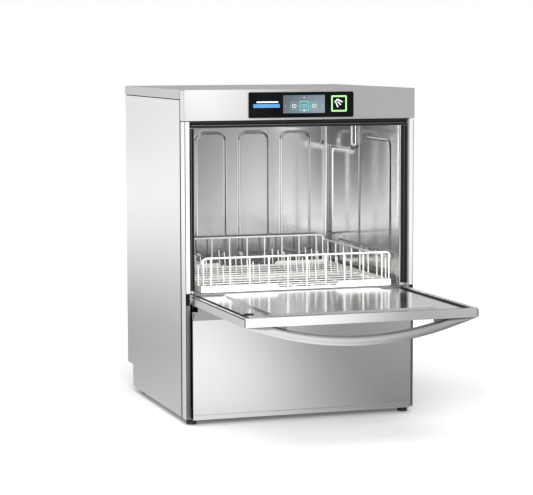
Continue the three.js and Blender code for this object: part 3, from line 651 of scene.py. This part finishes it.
def fascia():
    """A face with a window cut for the control glass, its folded-back sides and its lower flange."""
    low, high = span("fascia")
    glass_low, glass_high = span("control_glass")
    seam, clear, flange, lid_joint = 1.3, 0.5, 14, 1.4
    face = Shape().box(low.x + seam, high.x - seam, low.y, low.y + SHEET, low.z, high.z)
    obj = placed("fascia_face", face.mesh("fascia_face"))
    window = round_rect(
        glass_low.x - clear, glass_high.x + clear, glass_low.z - clear, glass_high.z + clear, 4.5,
    )
    cutter = placed("window", Shape().prism(window, "Y", low.y - 5, low.y + 5).mesh("window"))
    modified(obj, "BOOLEAN", operation="DIFFERENCE", solver="EXACT", object=cutter)
    bpy.data.objects.remove(cutter)
    back, top = high.y - 2.6, high.z - lid_joint
    folds = Shape().both(high.x - SHEET, high.x, low.y + 0.5, high.y - 3.4, low.z, top)
    folds.both(high.x - flange, high.x - SHEET, back - SHEET, back, low.z, top)
    folds.box(low.x + 1.4, high.x - 1.4, low.y + SHEET, low.y + 22, low.z, low.z + SHEET)
    work = bmesh.new()
    work.from_mesh(obj.data)
    work.from_mesh(folds.mesh("folds"))
    bpy.data.objects.remove(obj)
    remade("fascia", written(work, bpy.data.meshes.new("fascia_fine")), "brushed_front", 0.45, 3)


def door_posts():
    """Each post is a front strip and a side strip with a fine open seam at their corner. An ear holds
    the hinge's pin. Below the hinge the front strip is a darker grey satin, which is painted shade,
    and near-black sheets in the gaps are painted shade too."""
    front, shade_sheets_top = span("fascia")[0].y, 812
    for side, name in SIDES:
        node = "door_post_" + name
        low, high = span(node)
        arm_low, arm_high = span("hinge_arm_" + name)
        pin = (arm_low.z + arm_high.z) / 2
        slot_low, slot_high = pin - 16, pin + 13
        left, right = (low.x, high.x) if side < 0 else (-high.x, -low.x)
        seam, top = left + 2.8, high.z - 1.4
        shape = Shape().box(seam, right, front, front + SHEET, slot_high, top)
        shape.box(right - SHEET, right, front + 5, high.y - 2, low.z, top)
        shape.box(left, left + SHEET, front + 0.7, high.y - 5.4, low.z, top)
        half_ear = [(front + 0.6, 10), (low.y + 4, 9), (low.y, 4)]
        ear = [(y, pin - h) for y, h in half_ear] + [(y, pin + h) for y, h in reversed(half_ear)]
        shape.prism(ear, "X", right - SHEET, right)
        remade(node, shape.on_side(side), "brushed_upright", 0.4, 3)
        # Below the hinge the front strip is a darker grey satin: painted shade under the open door.
        strip = [(seam, front + 0.6), (right, front + 1.2), (right, front + 2.4), (seam, front + 1.8)]
        lower = Shape().prism(strip, "Z", low.z, slot_low)
        piece(node + "_lower_strip", lower.on_side(side), "mid_satin", "satin_metal", 0.3)
        # Near-black sheets in the post's gaps: painted shade.
        shade_sheets = Shape().box(left + 1.6, right - 1.4, front + 5, front + 6, low.z, top)
        shade_sheets.box(seam, right - 1.4, front + 1.4, front + 5, slot_low, slot_high)
        shade_sheets.box(left + 0.4, left + 9, high.y - 5.2, high.y + 3.8, low.z, shade_sheets_top)
        piece(node + "_lining", shade_sheets.on_side(side), "painted_shade_black", "black_plastic", 0.2)


def foot(node):
    """A ribbed pad, its neck and its stud."""
    low, high = span(node)
    x, y, _ = (low + high) / 2
    profile = [
        (0, 0), (11.5, 0), (13, 1.2), (13, 4.6), (12.2, 5.4), (13, 6.2), (12.6, 9), (11, 11.4),
        (8.5, 12.2), (8.5, 14.8), (4.6, 15), (4.6, high.z), (0, high.z),
    ]
    shape = Shape().lathe(profile, (x, y, 0))
    ribs, reach = 14, 12.4
    for u, v in circle(reach, ribs):
        shape.tube([(x + u, y + v, 1.5), (x + u, y + v, 8.4)], 0.8, 6)
    remade(node, shape, "black_plastic")


def rear_fixings():
    """Hexagonal screws along the rear panel and two columns of pressed louvres. A black strip under
    each louvre is painted shade in its opening.
    """
    low, high = span("rear_panel")
    back = high.y
    head = [(0, back + 3.2), (2.6, back + 3.2), (3.4, back + 2.2), (4.4, back + 0.9), (5.2, back - 0.2)]
    screws = Shape()
    for x in (low.x + 16, 0, high.x - 16):
        for z in (high.z - 18, 440, 100):
            screws.lathe(head, (x, 0, z), "Y", 6)
    piece("rear_panel_screws", screws, "satin", "satin_metal", 0.25)
    louvres, slot_shades = Shape(), Shape()
    half, pitch, rows, lowest = 45, 14, 7, 655
    for column in (-120, 120):
        for row in range(rows):
            z = lowest + row * pitch
            # A black strip under each louvre: painted shade where its opening is.
            slot_shades.box(column - half + 1, column + half - 1, back - 0.3, back + 0.5, z - 5.2, z - 2.4)
            hood = [
                (back - 0.4, z + 4.2), (back + 3.4, z - 1.2), (back + 3.8, z - 2.2),
                (back + 2.8, z - 2.4), (back - 0.4, z - 2.4),
            ]
            louvres.prism(hood, "X", column - half, column + half)
    piece("rear_panel_louvres", louvres, "brushed_side", "brushed_steel", 0.4)
    piece("rear_panel_louvre_painted_shade", slot_shades, "black_plastic", "black_plastic", 0.1)


# ---------------- controls


class Sign(Shape):
    """Flat marks in x and z, a hair proud of the surface, from y0 to y1."""

    def __init__(self, y0, y1):
        super().__init__()
        self.y0, self.y1 = y0, y1

    def border(self, x0, x1, z0, z1, radius, band, inner_radius):
        """A frame that is band wide."""
        outer = round_rect(x0, x1, z0, z1, radius)
        inner = round_rect(x0 + band, x1 - band, z0 + band, z1 - band, inner_radius)
        sections = ((inner, self.y0), (outer, self.y0), (outer, self.y1), (inner, self.y1))
        self.loft([[(x, y, z) for x, z in outline] for outline, y in sections], closed=True)

    def stroke(self, a, b, width):
        """A straight stroke from a to b."""
        a, b = Vector(a), Vector(b)
        along = (b - a).normalized()
        across = Vector((-along.y, along.x)) * width / 2
        self.prism([a + across, a - across, b - across, b + across], "Y", self.y0, self.y1)

    def dot(self, x, z, radius, proud=0.0):
        outline = [(x + u, z + v) for u, v in circle(radius, 16)]
        self.prism(outline, "Y", self.y0 - proud, self.y1)


def controls():
    """The black glass in its bezel, with a plain blue bar and a white dash beside the display."""
    low, high = span("control_glass")
    front, rim = low.y, 2.2
    bezel = Sign(front - 0.3, front + 2.0)
    bezel.border(low.x - rim, high.x + rim, low.z - rim, high.z + rim, 6, 1.9, 4.2)
    piece("control_bezel", bezel, "satin", "satin_metal", 0.3)
    refined("control_glass", "black_glass", 0.35, 3)
    display()
    start_button()
    mark = Shape().box(-124, -56, front - 0.12, front + 0.2, 775, 784)
    piece("trim_bar", mark, "blue_bar", "screen", 0.1)
    dash = Shape().prism(round_rect(-116, -60, 787, 790.4, 1.6), "Y", front - 0.12, front + 0.2)
    piece("trim_dash", dash, "white_icon", "screen")
    refined("control_board", "circuit_board", 0.3)


def display():
    """A lit screen with two round icons, a framed sign between them, arrows at its ends and dots."""
    low, high = span("display")
    refined("display", "screen_glow", 0.3)
    white, teal = (Sign(low.y - 0.12, low.y + 0.1) for _ in range(2))
    x, z = low.x + (high.x - low.x) * 0.5, low.z + (high.z - low.z) * 0.4
    for icon in (x - 26, x + 26):
        white.border(icon - 5.6, icon + 5.6, z - 4.6, z + 4.6, 4.2, 1.2, 3)
        white.stroke((icon - 1.8, z), (icon + 1.8, z), 1.2)
        teal.border(icon - 9.5, icon + 9.5, z - 9, z + 9.5, 1.0, 0.5, 0.8)
    teal.border(x - 12, x + 12, z - 11, z + 12, 1.0, 2, 0.8)
    teal.border(x - 7, x + 7, z - 4, z + 4.4, 3.6, 2, 1.8)
    for edge, way in ((low.x, 1), (high.x, -1)):
        for rise in (-2.5, 2.5):
            teal.stroke((edge + way * 5, z + rise), (edge + way * 7, z), 1.2)
    white.dot(x, high.z - 6, 1.2)
    white.dot(x, z - 11, 2.0, 0.05)
    piece("display_icons", white, "white_icon", "screen")
    piece("display_frame", teal, "teal_icon", "screen")


def start_button():
    """A black key with a lit frame round a sign of four strokes."""
    low, high = span("start_button")
    refined("start_button", "black_glass", 0.3, 3)
    lit, spray = (Sign(low.y - 0.15, low.y + 0.15) for _ in range(2))
    lit.border(low.x + 0.6, high.x - 0.6, low.z + 0.6, high.z - 0.6, 2.4, 3.8, 1.2)
    piece("start_button_frame", lit, "green_frame", "button_light", body="start_button")
    at = Vector((low.x + 15, high.z - 10.5))
    for a, b, width in (
        ((-5.5, -6.5), (1.5, 0.5), 3.0), ((1.0, 0.6), (15.5, -6.5), 3.2),
        ((-2.5, -6.5), (3.0, -19), 3.2), ((3.0, -5.0), (10.5, -13.5), 3.2),
    ):
        spray.stroke(at + Vector(a), at + Vector(b), width)
    piece("start_button_icon", spray, "white_icon", "button_light", body="start_button")


# ---------------- wash chamber


def emboss(u, v, box, radius, slope):
    """1 inside a rounded rectangle, 0 outside, with a smooth wall of width slope between."""
    u0, u1, v0, v1 = box
    across = abs(u - (u0 + u1) / 2) - (u1 - u0) / 2 + radius
    up = abs(v - (v0 + v1) / 2) - (v1 - v0) / 2 + radius
    outside = math.hypot(max(across, 0), max(up, 0)) + min(max(across, up), 0) - radius
    t = min(1.0, max(0.0, 0.5 - outside / slope))
    return t * t * (3 - 2 * t)


def edge_lines(start, stop, insets):
    """Places at both ends of an embossed panel, and at each inset from them."""
    return [place for inset in (0, *insets) for place in (start + inset, stop - inset)]


def lines(low, high, step, edges, slope=6):
    """Grid lines: coarse in general, fine where an embossed edge runs."""
    found = {low, high}
    count = max(1, round((high - low) / step))
    found.update(low + (high - low) * i / count for i in range(count + 1))
    found.update(edge + i * slope / 6 for edge in edges for i in range(-4, 5))
    inside = sorted(value for value in found if low <= value <= high)
    kept = [inside[0]]
    for value in inside[1:-1]:
        if value - kept[-1] > slope / 8 and inside[-1] - value > slope / 8:
            kept.append(value)
    return kept + [inside[-1]]


def pressed_sheet(us, vs, place, height, thickness):
    """A closed sheet over a grid. place(u, v, h) is a point h above the plain surface."""
    width, depth = len(us), len(vs)
    verts = [place(u, v, height(u, v) + level) for level in (0.0, -thickness) for v in vs for u in us]
    lower = width * depth
    faces = []
    for j in range(depth - 1):
        for i in range(width - 1):
            a = j * width + i
            faces.append((a, a + 1, a + width + 1, a + width))
            faces.append((lower + a, lower + a + width, lower + a + width + 1, lower + a + 1))
    rim = list(range(width)) + [j * width + width - 1 for j in range(1, depth)]
    rim += [(depth - 1) * width + i for i in range(width - 2, -1, -1)]
    rim += [j * width for j in range(depth - 2, 0, -1)]
    faces += [(a, lower + a, lower + b, b) for a, b in zip(rim, rim[1:] + rim[:1])]
    return Shape().add(verts, faces)


class PlanPath:
    """A line in plan, measured along its length, with the chamber on its left."""

    def __init__(self, points):
        self.points = points
        self.at = [0.0]
        for a, b in zip(points, points[1:]):
            self.at.append(self.at[-1] + (b - a).length)
        self.normals = []
        for i in range(len(points)):
            along = (points[min(i + 1, len(points) - 1)] - points[max(i - 1, 0)]).normalized()
            self.normals.append(Vector((-along.y, along.x)))

    def __call__(self, s, z, out):
        """The point at length s and height z, out from the line into the chamber."""
        i = next((k for k, a in enumerate(self.at) if a > s), len(self.at)) - 1
        i = max(0, min(len(self.at) - 2, i))
        t = (s - self.at[i]) / (self.at[i + 1] - self.at[i])
        normal = self.normals[i].lerp(self.normals[i + 1], t).normalized()
        spot = self.points[i].lerp(self.points[i + 1], t) + normal * out
        return Vector((spot.x, spot.y, z))


def chamber():
    """One pressed liner for the right wall, the back and the left wall, then the parts around it."""
    low, high = span("chamber_wall_right")
    inner, front, back = low.x, low.y + 0.6, span("chamber_back")[0].y
    plan = rounded([(inner + 15, front), (inner, front), (inner, front + 8)], 3)
    plan = plan[:-1] + rounded([(inner, front + 6), (inner, back), (0, back)], 16, 9)[1:]
    plan += [Vector((-p.x, p.y)) for p in reversed(plan[:-1])]
    path = PlanPath(plan)
    total = path.at[-1]
    # Along the right wall the path's length grows with y, so the two differ by one offset.
    offset = next(s - p.y for s, p in zip(path.at, plan) if abs(p.x - inner) < 0.01 and p.y > front + 2)

    def right(y0, y1):
        """Where a stretch of the right wall lies along the path."""
        return offset + y0, offset + y1

    def left(y0, y1):
        return total - offset - y1, total - offset - y0

    long_panel = (352, 687, 22, 8, 3.4)
    panels = [
        (*right(17, 202), *long_panel), (*left(17, 202), *long_panel),
        (*right(262, 462), 651, 830, 16, 8, 13.0),
        (*left(250, 420), *long_panel),
        (*right(-20, 243), 300, 900, 4, 2.5, -3.0),
    ]
    panels += [(total / 2 - x - 42, total / 2 - x + 42, 352, 690, 20, 8, 3.6) for x in (172, 51, -71, -192)]

    def height(u, v):
        return sum(rise * emboss(u, v, box, radius, slope) for *box, radius, slope, rise in panels)

    edges_u = [edge for u0, u1, *_ in panels for edge in edge_lines(u0, u1, (20, 10, -10))]
    edges_v = [352, 651, 687, 690, 664, 674, 372]
    closest = 0.4
    us = [0]
    for value in sorted({*lines(0, total, 16, edges_u), *path.at}):
        if value - us[-1] > closest:
            us.append(value)
    liner = pressed_sheet(us, lines(low.z, high.z, 22, edges_v), path, height, SHEET)
    nodes = ("chamber_wall_left", "chamber_wall_right", "chamber_back")
    piece("chamber_liner", liner, "polished", "polished_steel", crease=60, nodes=nodes)
    refined("chamber_top", "polished_flat", 0.5, 3)
    refined("threshold", "satin", 0.5, 3)
    refined("wash_tank", "polished")
    for _, name in SIDES:
        refined("rack_guide_" + name, "polished", 0.4)
    gaskets()


# A seal's section, with a fat outer lip, a groove and a thin inner lip, and the strip in its groove:
# (u, v) points, u across the seal and v out of it.
SEAL_WIDTH = 14.0
SEAL = [
    (0.0, 0.0), (14.0, 0.0), (14.0, 7.5), (13.6, 10.6), (12.2, 12.8), (9.8, 13.0), (8.2, 10.4),
    (7.8, 5.4), (5.2, 4.6), (4.4, 6.2), (4.2, 10.4), (3.3, 13.0), (1.6, 13.6), (0.4, 12.4), (0.2, 8.0),
]
KEEPER = [(5.6, 4.4), (7.2, 4.4), (7.2, 9.2), (5.6, 9.2)]


def gasket(node, at, axis, start, stop, width, trim, side=-1):
    """A rubber seal with the steel strip that keeps it in place. at(u, v) puts its section in place."""
    scale = width / SEAL_WIDTH
    seal = Shape().prism([at(u * scale, v) for u, v in SEAL], axis, start, stop)
    remade(node, seal.on_side(side), "rubber", 0.5, 2, 50, 30)
    keeper = Shape().prism([at(u, v) for u, v in KEEPER], axis, start + trim, stop - trim)
    piece(node + "_keeper", keeper.on_side(side), "mid_satin", "satin_metal", 0.2)


def gaskets():
    """The seals at both sides of the opening and above it."""
    for side, name in SIDES:
        node = "door_gasket_" + name
        low, high = span(node)
        inner = high.x if side < 0 else -low.x
        gasket(node, lambda u, v: (inner - u, high.y - v), "Z", low.z, high.z, high.x - low.x, 2, side)
    low, high = span("door_gasket_top")
    gasket("door_gasket_top", lambda u, v: (high.y - v, low.z + u), "X", low.x, high.x, high.z - low.z, 6)


# ---------------- wash system


def strainer():
    """A perforated sheet with a turned-down rim and a round opening for the basket."""
    low, high = span("tank_strainer")
    cup_low, cup_high = span("filter_basket")
    cup, middle = (cup_low + cup_high) / 2, (low + high) / 2
    clear = (cup_high.x - cup_low.x) / 2 + 9
    top = high.z - 1.0
    pitch, margin = 15.0, 12
    nx, ny = (int((size - margin) // pitch) for size in (high.x - low.x, high.y - low.y))
    x0, y0 = middle.x - nx * pitch / 2, middle.y - ny * pitch / 2
    x1, y1 = x0 + nx * pitch, y0 + ny * pitch
    shape = Shape()
    for i in range(nx):
        for j in range(ny):
            x, y = x0 + (i + 0.5) * pitch, y0 + (j + 0.5) * pitch
            if math.hypot(x - cup.x, y - cup.y) >= clear + 7:
                holed_square(shape, x, y, top, pitch)
    for strip in (
        (low.x, x0, low.y, high.y), (x1, high.x, low.y, high.y), (x0, x1, low.y, y0), (x0, x1, y1, high.y),
    ):
        shape.box(*strip, top - SHEET, top + 0.2)
    for rim in (
        (low.x, low.x + SHEET, low.y, high.y), (high.x - SHEET, high.x, low.y, high.y),
        (low.x, high.x, low.y, low.y + SHEET), (low.x, high.x, high.y - SHEET, high.y),
    ):
        shape.box(*rim, low.z, high.z)
    inner, outer = clear - 6, clear + 17
    collar = [(inner, top - 1), (outer, top - 1), (outer, top + 0.4), (inner, top + 0.4), (inner, top - 1)]
    shape.lathe(collar, (cup.x, cup.y, 0), sides=40)
    piece("tank_strainer_fine", shape, "polished_flat", "polished_steel", nodes=("tank_strainer",))


def holed_square(shape, x, y, top, pitch):
    """A square of sheet, 1 mm thick, with an eight-sided hole."""
    points, hole = 8, 4.6
    inner = [(x + u, y + v) for u, v in circle(hole, points)]
    outer = []
    for u, v in circle(pitch / 2, points):
        reach = pitch / 2 / max(abs(u), abs(v))
        outer.append((x + u * reach, y + v * reach))
    sections = ((outer, top), (inner, top), (inner, top - 1), (outer, top - 1))
    shape.loft([[(p, q, z) for p, q in outline] for outline, z in sections], closed=True)


def wash_system():
    """What washes: the strainer and its basket, the spindles and arms, the pumps and the boiler."""
    strainer()
    refined("filter_basket", "grey_plastic")
    arms = (level + kind for level in ("lower_", "upper_") for kind in ("wash_arm", "rinse_arm"))
    for node in ("lower_spindle", "upper_spindle", *arms):
        refined(node, None, 0.7, 3)
    for node in (
        "wash_pump_motor", "wash_pump_casing", "wash_pump_impeller", "drain_pump",
        "boiler", "riser_duct", "power_box", "tank_heater",
    ):
        refined(node, None, 0.6)


# ---------------- connections


def fitting(node, finish, bore, start, stop, pitch, ridge, ends):
    """A turned stub with a blind bore. Its outside is a collar, then the ridge again and again, then a
    tip: (depth below the outside, distance along) points, where the tip counts from the far end."""
    low, high = span(node)
    center, radius = (low + high) / 2, (high.x - low.x) / 2
    collar, tip = ends
    profile = [(bore, low.y)] + [(radius - depth, low.y + along) for depth, along in collar]
    y = low.y + start
    while y < high.y - stop:
        profile += [(radius - depth, y + along) for depth, along in ridge]
        y += pitch
    profile += [(radius - depth, high.y - along) for depth, along in tip]
    profile += [(bore, high.y), (bore, low.y + 4), (0, low.y + 4)]
    remade(node, Shape().lathe(profile, (center.x, 0, center.z), "Y", 32), finish)


def connections():
    """A threaded water inlet, a ribbed drain outlet and the cable gland."""
    thread = [(1.4, 0), (0.2, 0.7), (1.4, 1.4)]
    collar, tip = [(0, 0), (0, 7), (1.6, 8)], [(2, 0)]
    fitting("water_inlet", "brass", 9, 9, 1.5, 1.8, thread, (collar, tip))
    barb = [(2.4, 0.4), (0.4, 1.4), (2.0, 5.0)]
    collar, tip = [(0, 0), (0, 5)], [(2.4, 0.5), (3, 0)]
    fitting("drain_outlet", "grey_plastic", 8, 5, 6, 5.2, barb, (collar, tip))
    refined("cable_gland", "black_plastic", 0.6, 3)


# ---------------- door


def door():
    door_outer_skin()
    for _, name in SIDES:
        refined("hinge_arm_" + name)
        # The handle's ends get the dark grey metal: painted shade.
        refined("handle_end_" + name, "satin_painted_shade", 1.2, 3)
    door_inner_panel()
    door_handle()


def door_outer_skin():
    """A folded tray. The joints at its front corners and the seal along its sides show as dark lines."""
    low, high = span("door_outer_skin")
    joint, inset = 2.2, SHEET + 0.1
    side_top = high.z - 3.4
    wall = high.x - SHEET
    edge = wall - joint
    face = Shape().box(low.x + inset, high.x - inset, low.y + inset, high.y, low.z, low.z + SHEET)
    piece("door_outer_skin_face", face, "brushed_flat", "brushed_steel", 0.3, body="door")
    shape = Shape().box(-edge, edge, low.y, low.y + SHEET, low.z, high.z)
    shape.box(-edge, edge, low.y + SHEET, low.y + 4, high.z - SHEET, high.z)
    shape.both(wall, high.x, low.y, high.y, low.z, side_top)
    remade("door_outer_skin", shape, "brushed_front", 0.45, 3)
    seal = Shape().both(high.x - 4, high.x - 0.8, low.y + 1.4, high.y, side_top, high.z - 1.4)
    seal.both(edge - 1, wall, low.y + 2, low.y + 3, low.z + SHEET, side_top)
    piece("door_edge_seal", seal, "rubber", "rubber", 0.2, body="door")


def door_inner_panel():
    """A pressed panel: a bed sunk below a narrow rim, a raised middle, rubber strips and a bumper."""
    low, high = span("door_inner_panel")
    skin_low, skin_high = span("door_outer_skin")
    rim, rim_width, depth = skin_high.z, 6.5, 3.6
    bed, bed_front, floor_z = high.x - rim_width, skin_low.y + 12, rim - depth
    field = (-bed, bed, bed_front, skin_high.y + 40)
    raised = (-206, 206, skin_low.y + 42, skin_high.y - 8)

    def height(u, v):
        return (depth + 1.0) * emboss(u, v, raised, 24, 7) - depth * emboss(u, v, field, 10, 1.6)

    us = lines(low.x - 1.2, high.x + 1.2, 14, edge_lines(*raised[:2], (22, 10)))
    vs = lines(low.y, high.y, 14, edge_lines(*raised[2:], (22, 10)))
    fine = (-0.9, -0.5, -0.2, 0.0, 0.2, 0.5, 0.9)
    us = sorted({*us, *(side * (bed + f) for f in fine for side in (-1, 1))})
    vs = sorted({*vs, *(bed_front + f for f in fine)})
    panel = pressed_sheet(us, vs, lambda u, v, h: Vector((u, v, rim + h)), height, 1.0)
    remade("door_inner_panel", panel, "polished_flat", crease=60)
    rubbers = Shape().both(bed - 11.5, bed - 6.0, bed_front + 3, high.y - 4, floor_z - 0.2, rim - 0.4)
    bumper = [(0, -0.4), (12.6, -0.4), (12.6, 0.6), (11, 1.5), (0, 2.0)]
    rubbers.lathe(bumper, (-246, skin_low.y + 89, floor_z))
    piece("door_inner_panel_rubbers", rubbers, "rubber", "rubber", 0.3, body="door")


def door_handle():
    """A shallow bow with a soft rounded section, thinning out where it meets the door's lower face."""
    low, high = span("door_handle")
    flush, half = high.z, high.x
    drop, thickness = flush - low.z, 22
    lower_radius = (half * half + drop * drop) / (2 * drop)
    upper_radius = lower_radius - thickness
    center = low.z + lower_radius
    rings = []
    for x in spaced(1.5 - half, half - 1.5, 57):
        bottom = center - math.sqrt(lower_radius ** 2 - x * x)
        top = min(flush, center - math.sqrt(max(upper_radius ** 2 - x * x, 0)))
        radius = max(0.3, min(8.0, (top - bottom) * 0.45))
        rings.append([(x, y, z) for y, z in round_rect(low.y, high.y, bottom, top, radius)])
    remade("door_handle", Shape().loft(rings), "satin", crease=50)


# ---------------- rack


def wires(node, shape, bevel=0.0):
    """A part of the rack, in place of its CAD node."""
    remade(node, shape, "coated_wire", bevel, 2, 50, 60, "_wires")


def rack():
    """Coated wire: two end frames, two side frames, the base grid and the pins."""
    low, high = span("rack_front")[0], span("rack_back")[1]
    base, corner = span("rack_side_left")[0].z, span("rack_side_right")[1]
    side_x, side_rim, end_rim = corner.x - WIRE, corner.z - WIRE, high.z - WIRE
    foot_z, strip_top, rim_wire = base + 6, base + 16, 2.5
    for name, y, inward in (("front", low.y + WIRE, 1), ("back", high.y - WIRE, -1)):
        half = [
            (side_x, 24, side_rim), (side_x, 2, side_rim),
            (side_x - 3, 0, end_rim - 4), (side_x - 10, 0, end_rim),
        ]
        rim = [(-x, y + inward * d, z) for x, d, z in half]
        rim += [(x, y + inward * d, z) for x, d, z in reversed(half)]
        shape = Shape().tube(rounded(rim, 8), rim_wire, 10)
        for x in spaced(-225, 225, 10):
            shape.tube([(x, y, foot_z), (x, y, end_rim)], WIRE)
        for x in (4 - side_x, side_x - 4):
            shape.tube([(x, y, foot_z), (x, y, end_rim - 5)], WIRE)
        end_strip(shape, side_x - 2, y, base, strip_top)
        wires("rack_" + name, shape)
    for side, name in SIDES:
        x = side * side_x
        shape = Shape().tube([(x, low.y + 20, side_rim), (x, high.y - 20, side_rim)], rim_wire, 10)
        for y in spaced(low.y + 34, high.y - 34, 8):
            shape.tube([(x, y, foot_z), (x, y, side_rim)], WIRE)
        shape.box(x - 2, x + 2, low.y + 2, high.y - 2, base, strip_top)
        wires("rack_side_" + name, shape, 0.5)
    rack_base(low, high, side_x - 2, base + 3 + WIRE)
    rack_pins()


def end_strip(shape, half, y, base, top):
    """The flat band round the foot of the rack, cut down between two tabs in the middle."""
    cut = top - 9
    outline = [
        (-half, base), (half, base), (half, top), (110, top),
        (103, cut), (-48, cut), (-55, top), (-half, top),
    ]
    shape.prism(outline, "Y", y - 1.8, y + 1.8)


def rack_base(low, high, half, bottom):
    """Wires from front to back, with cross wires on them."""
    shape = Shape()
    for x in spaced(-225, 225, 11):
        shape.tube([(x, low.y + 3, bottom), (x, high.y - 3, bottom)], 1.8)
    for y in spaced(low.y + 20, high.y - 20, 12):
        shape.tube([(-half, y, bottom + 3.2), (half, y, bottom + 3.2)], 1.6)
    wires("rack_base", shape)


def rack_pins():
    """Rows of leaning pins with rounded tips, each row on a cross wire between two long wires."""
    low, high = span("rack_pins")
    wire, rows, pitch = 1.6, 8, 50
    shape = Shape()
    for x in (2 - high.x, high.x - 2):
        shape.tube([(x, low.y, low.z + wire), (x, high.y, low.z + wire)], wire)
    for row in range(rows):
        y = low.y + 15 + pitch * row
        shape.tube([(low.x + 2, y, low.z + 1.8), (high.x - 2, y, low.z + 1.8)], wire)
        for x in (-170, -75, 75, 170):
            pin = [(x, y, low.z + 2), (x, y + 1.0, low.z + 16), (x, y + 7, high.z - 1)]
            shape.tube(rounded(pin, 10), wire)
    wires("rack_pins", shape)


for part in (camera, studio, floor, cabinet, controls, chamber, wash_system, connections, door, rack):
    part()

bpy.context.view_layer.update()
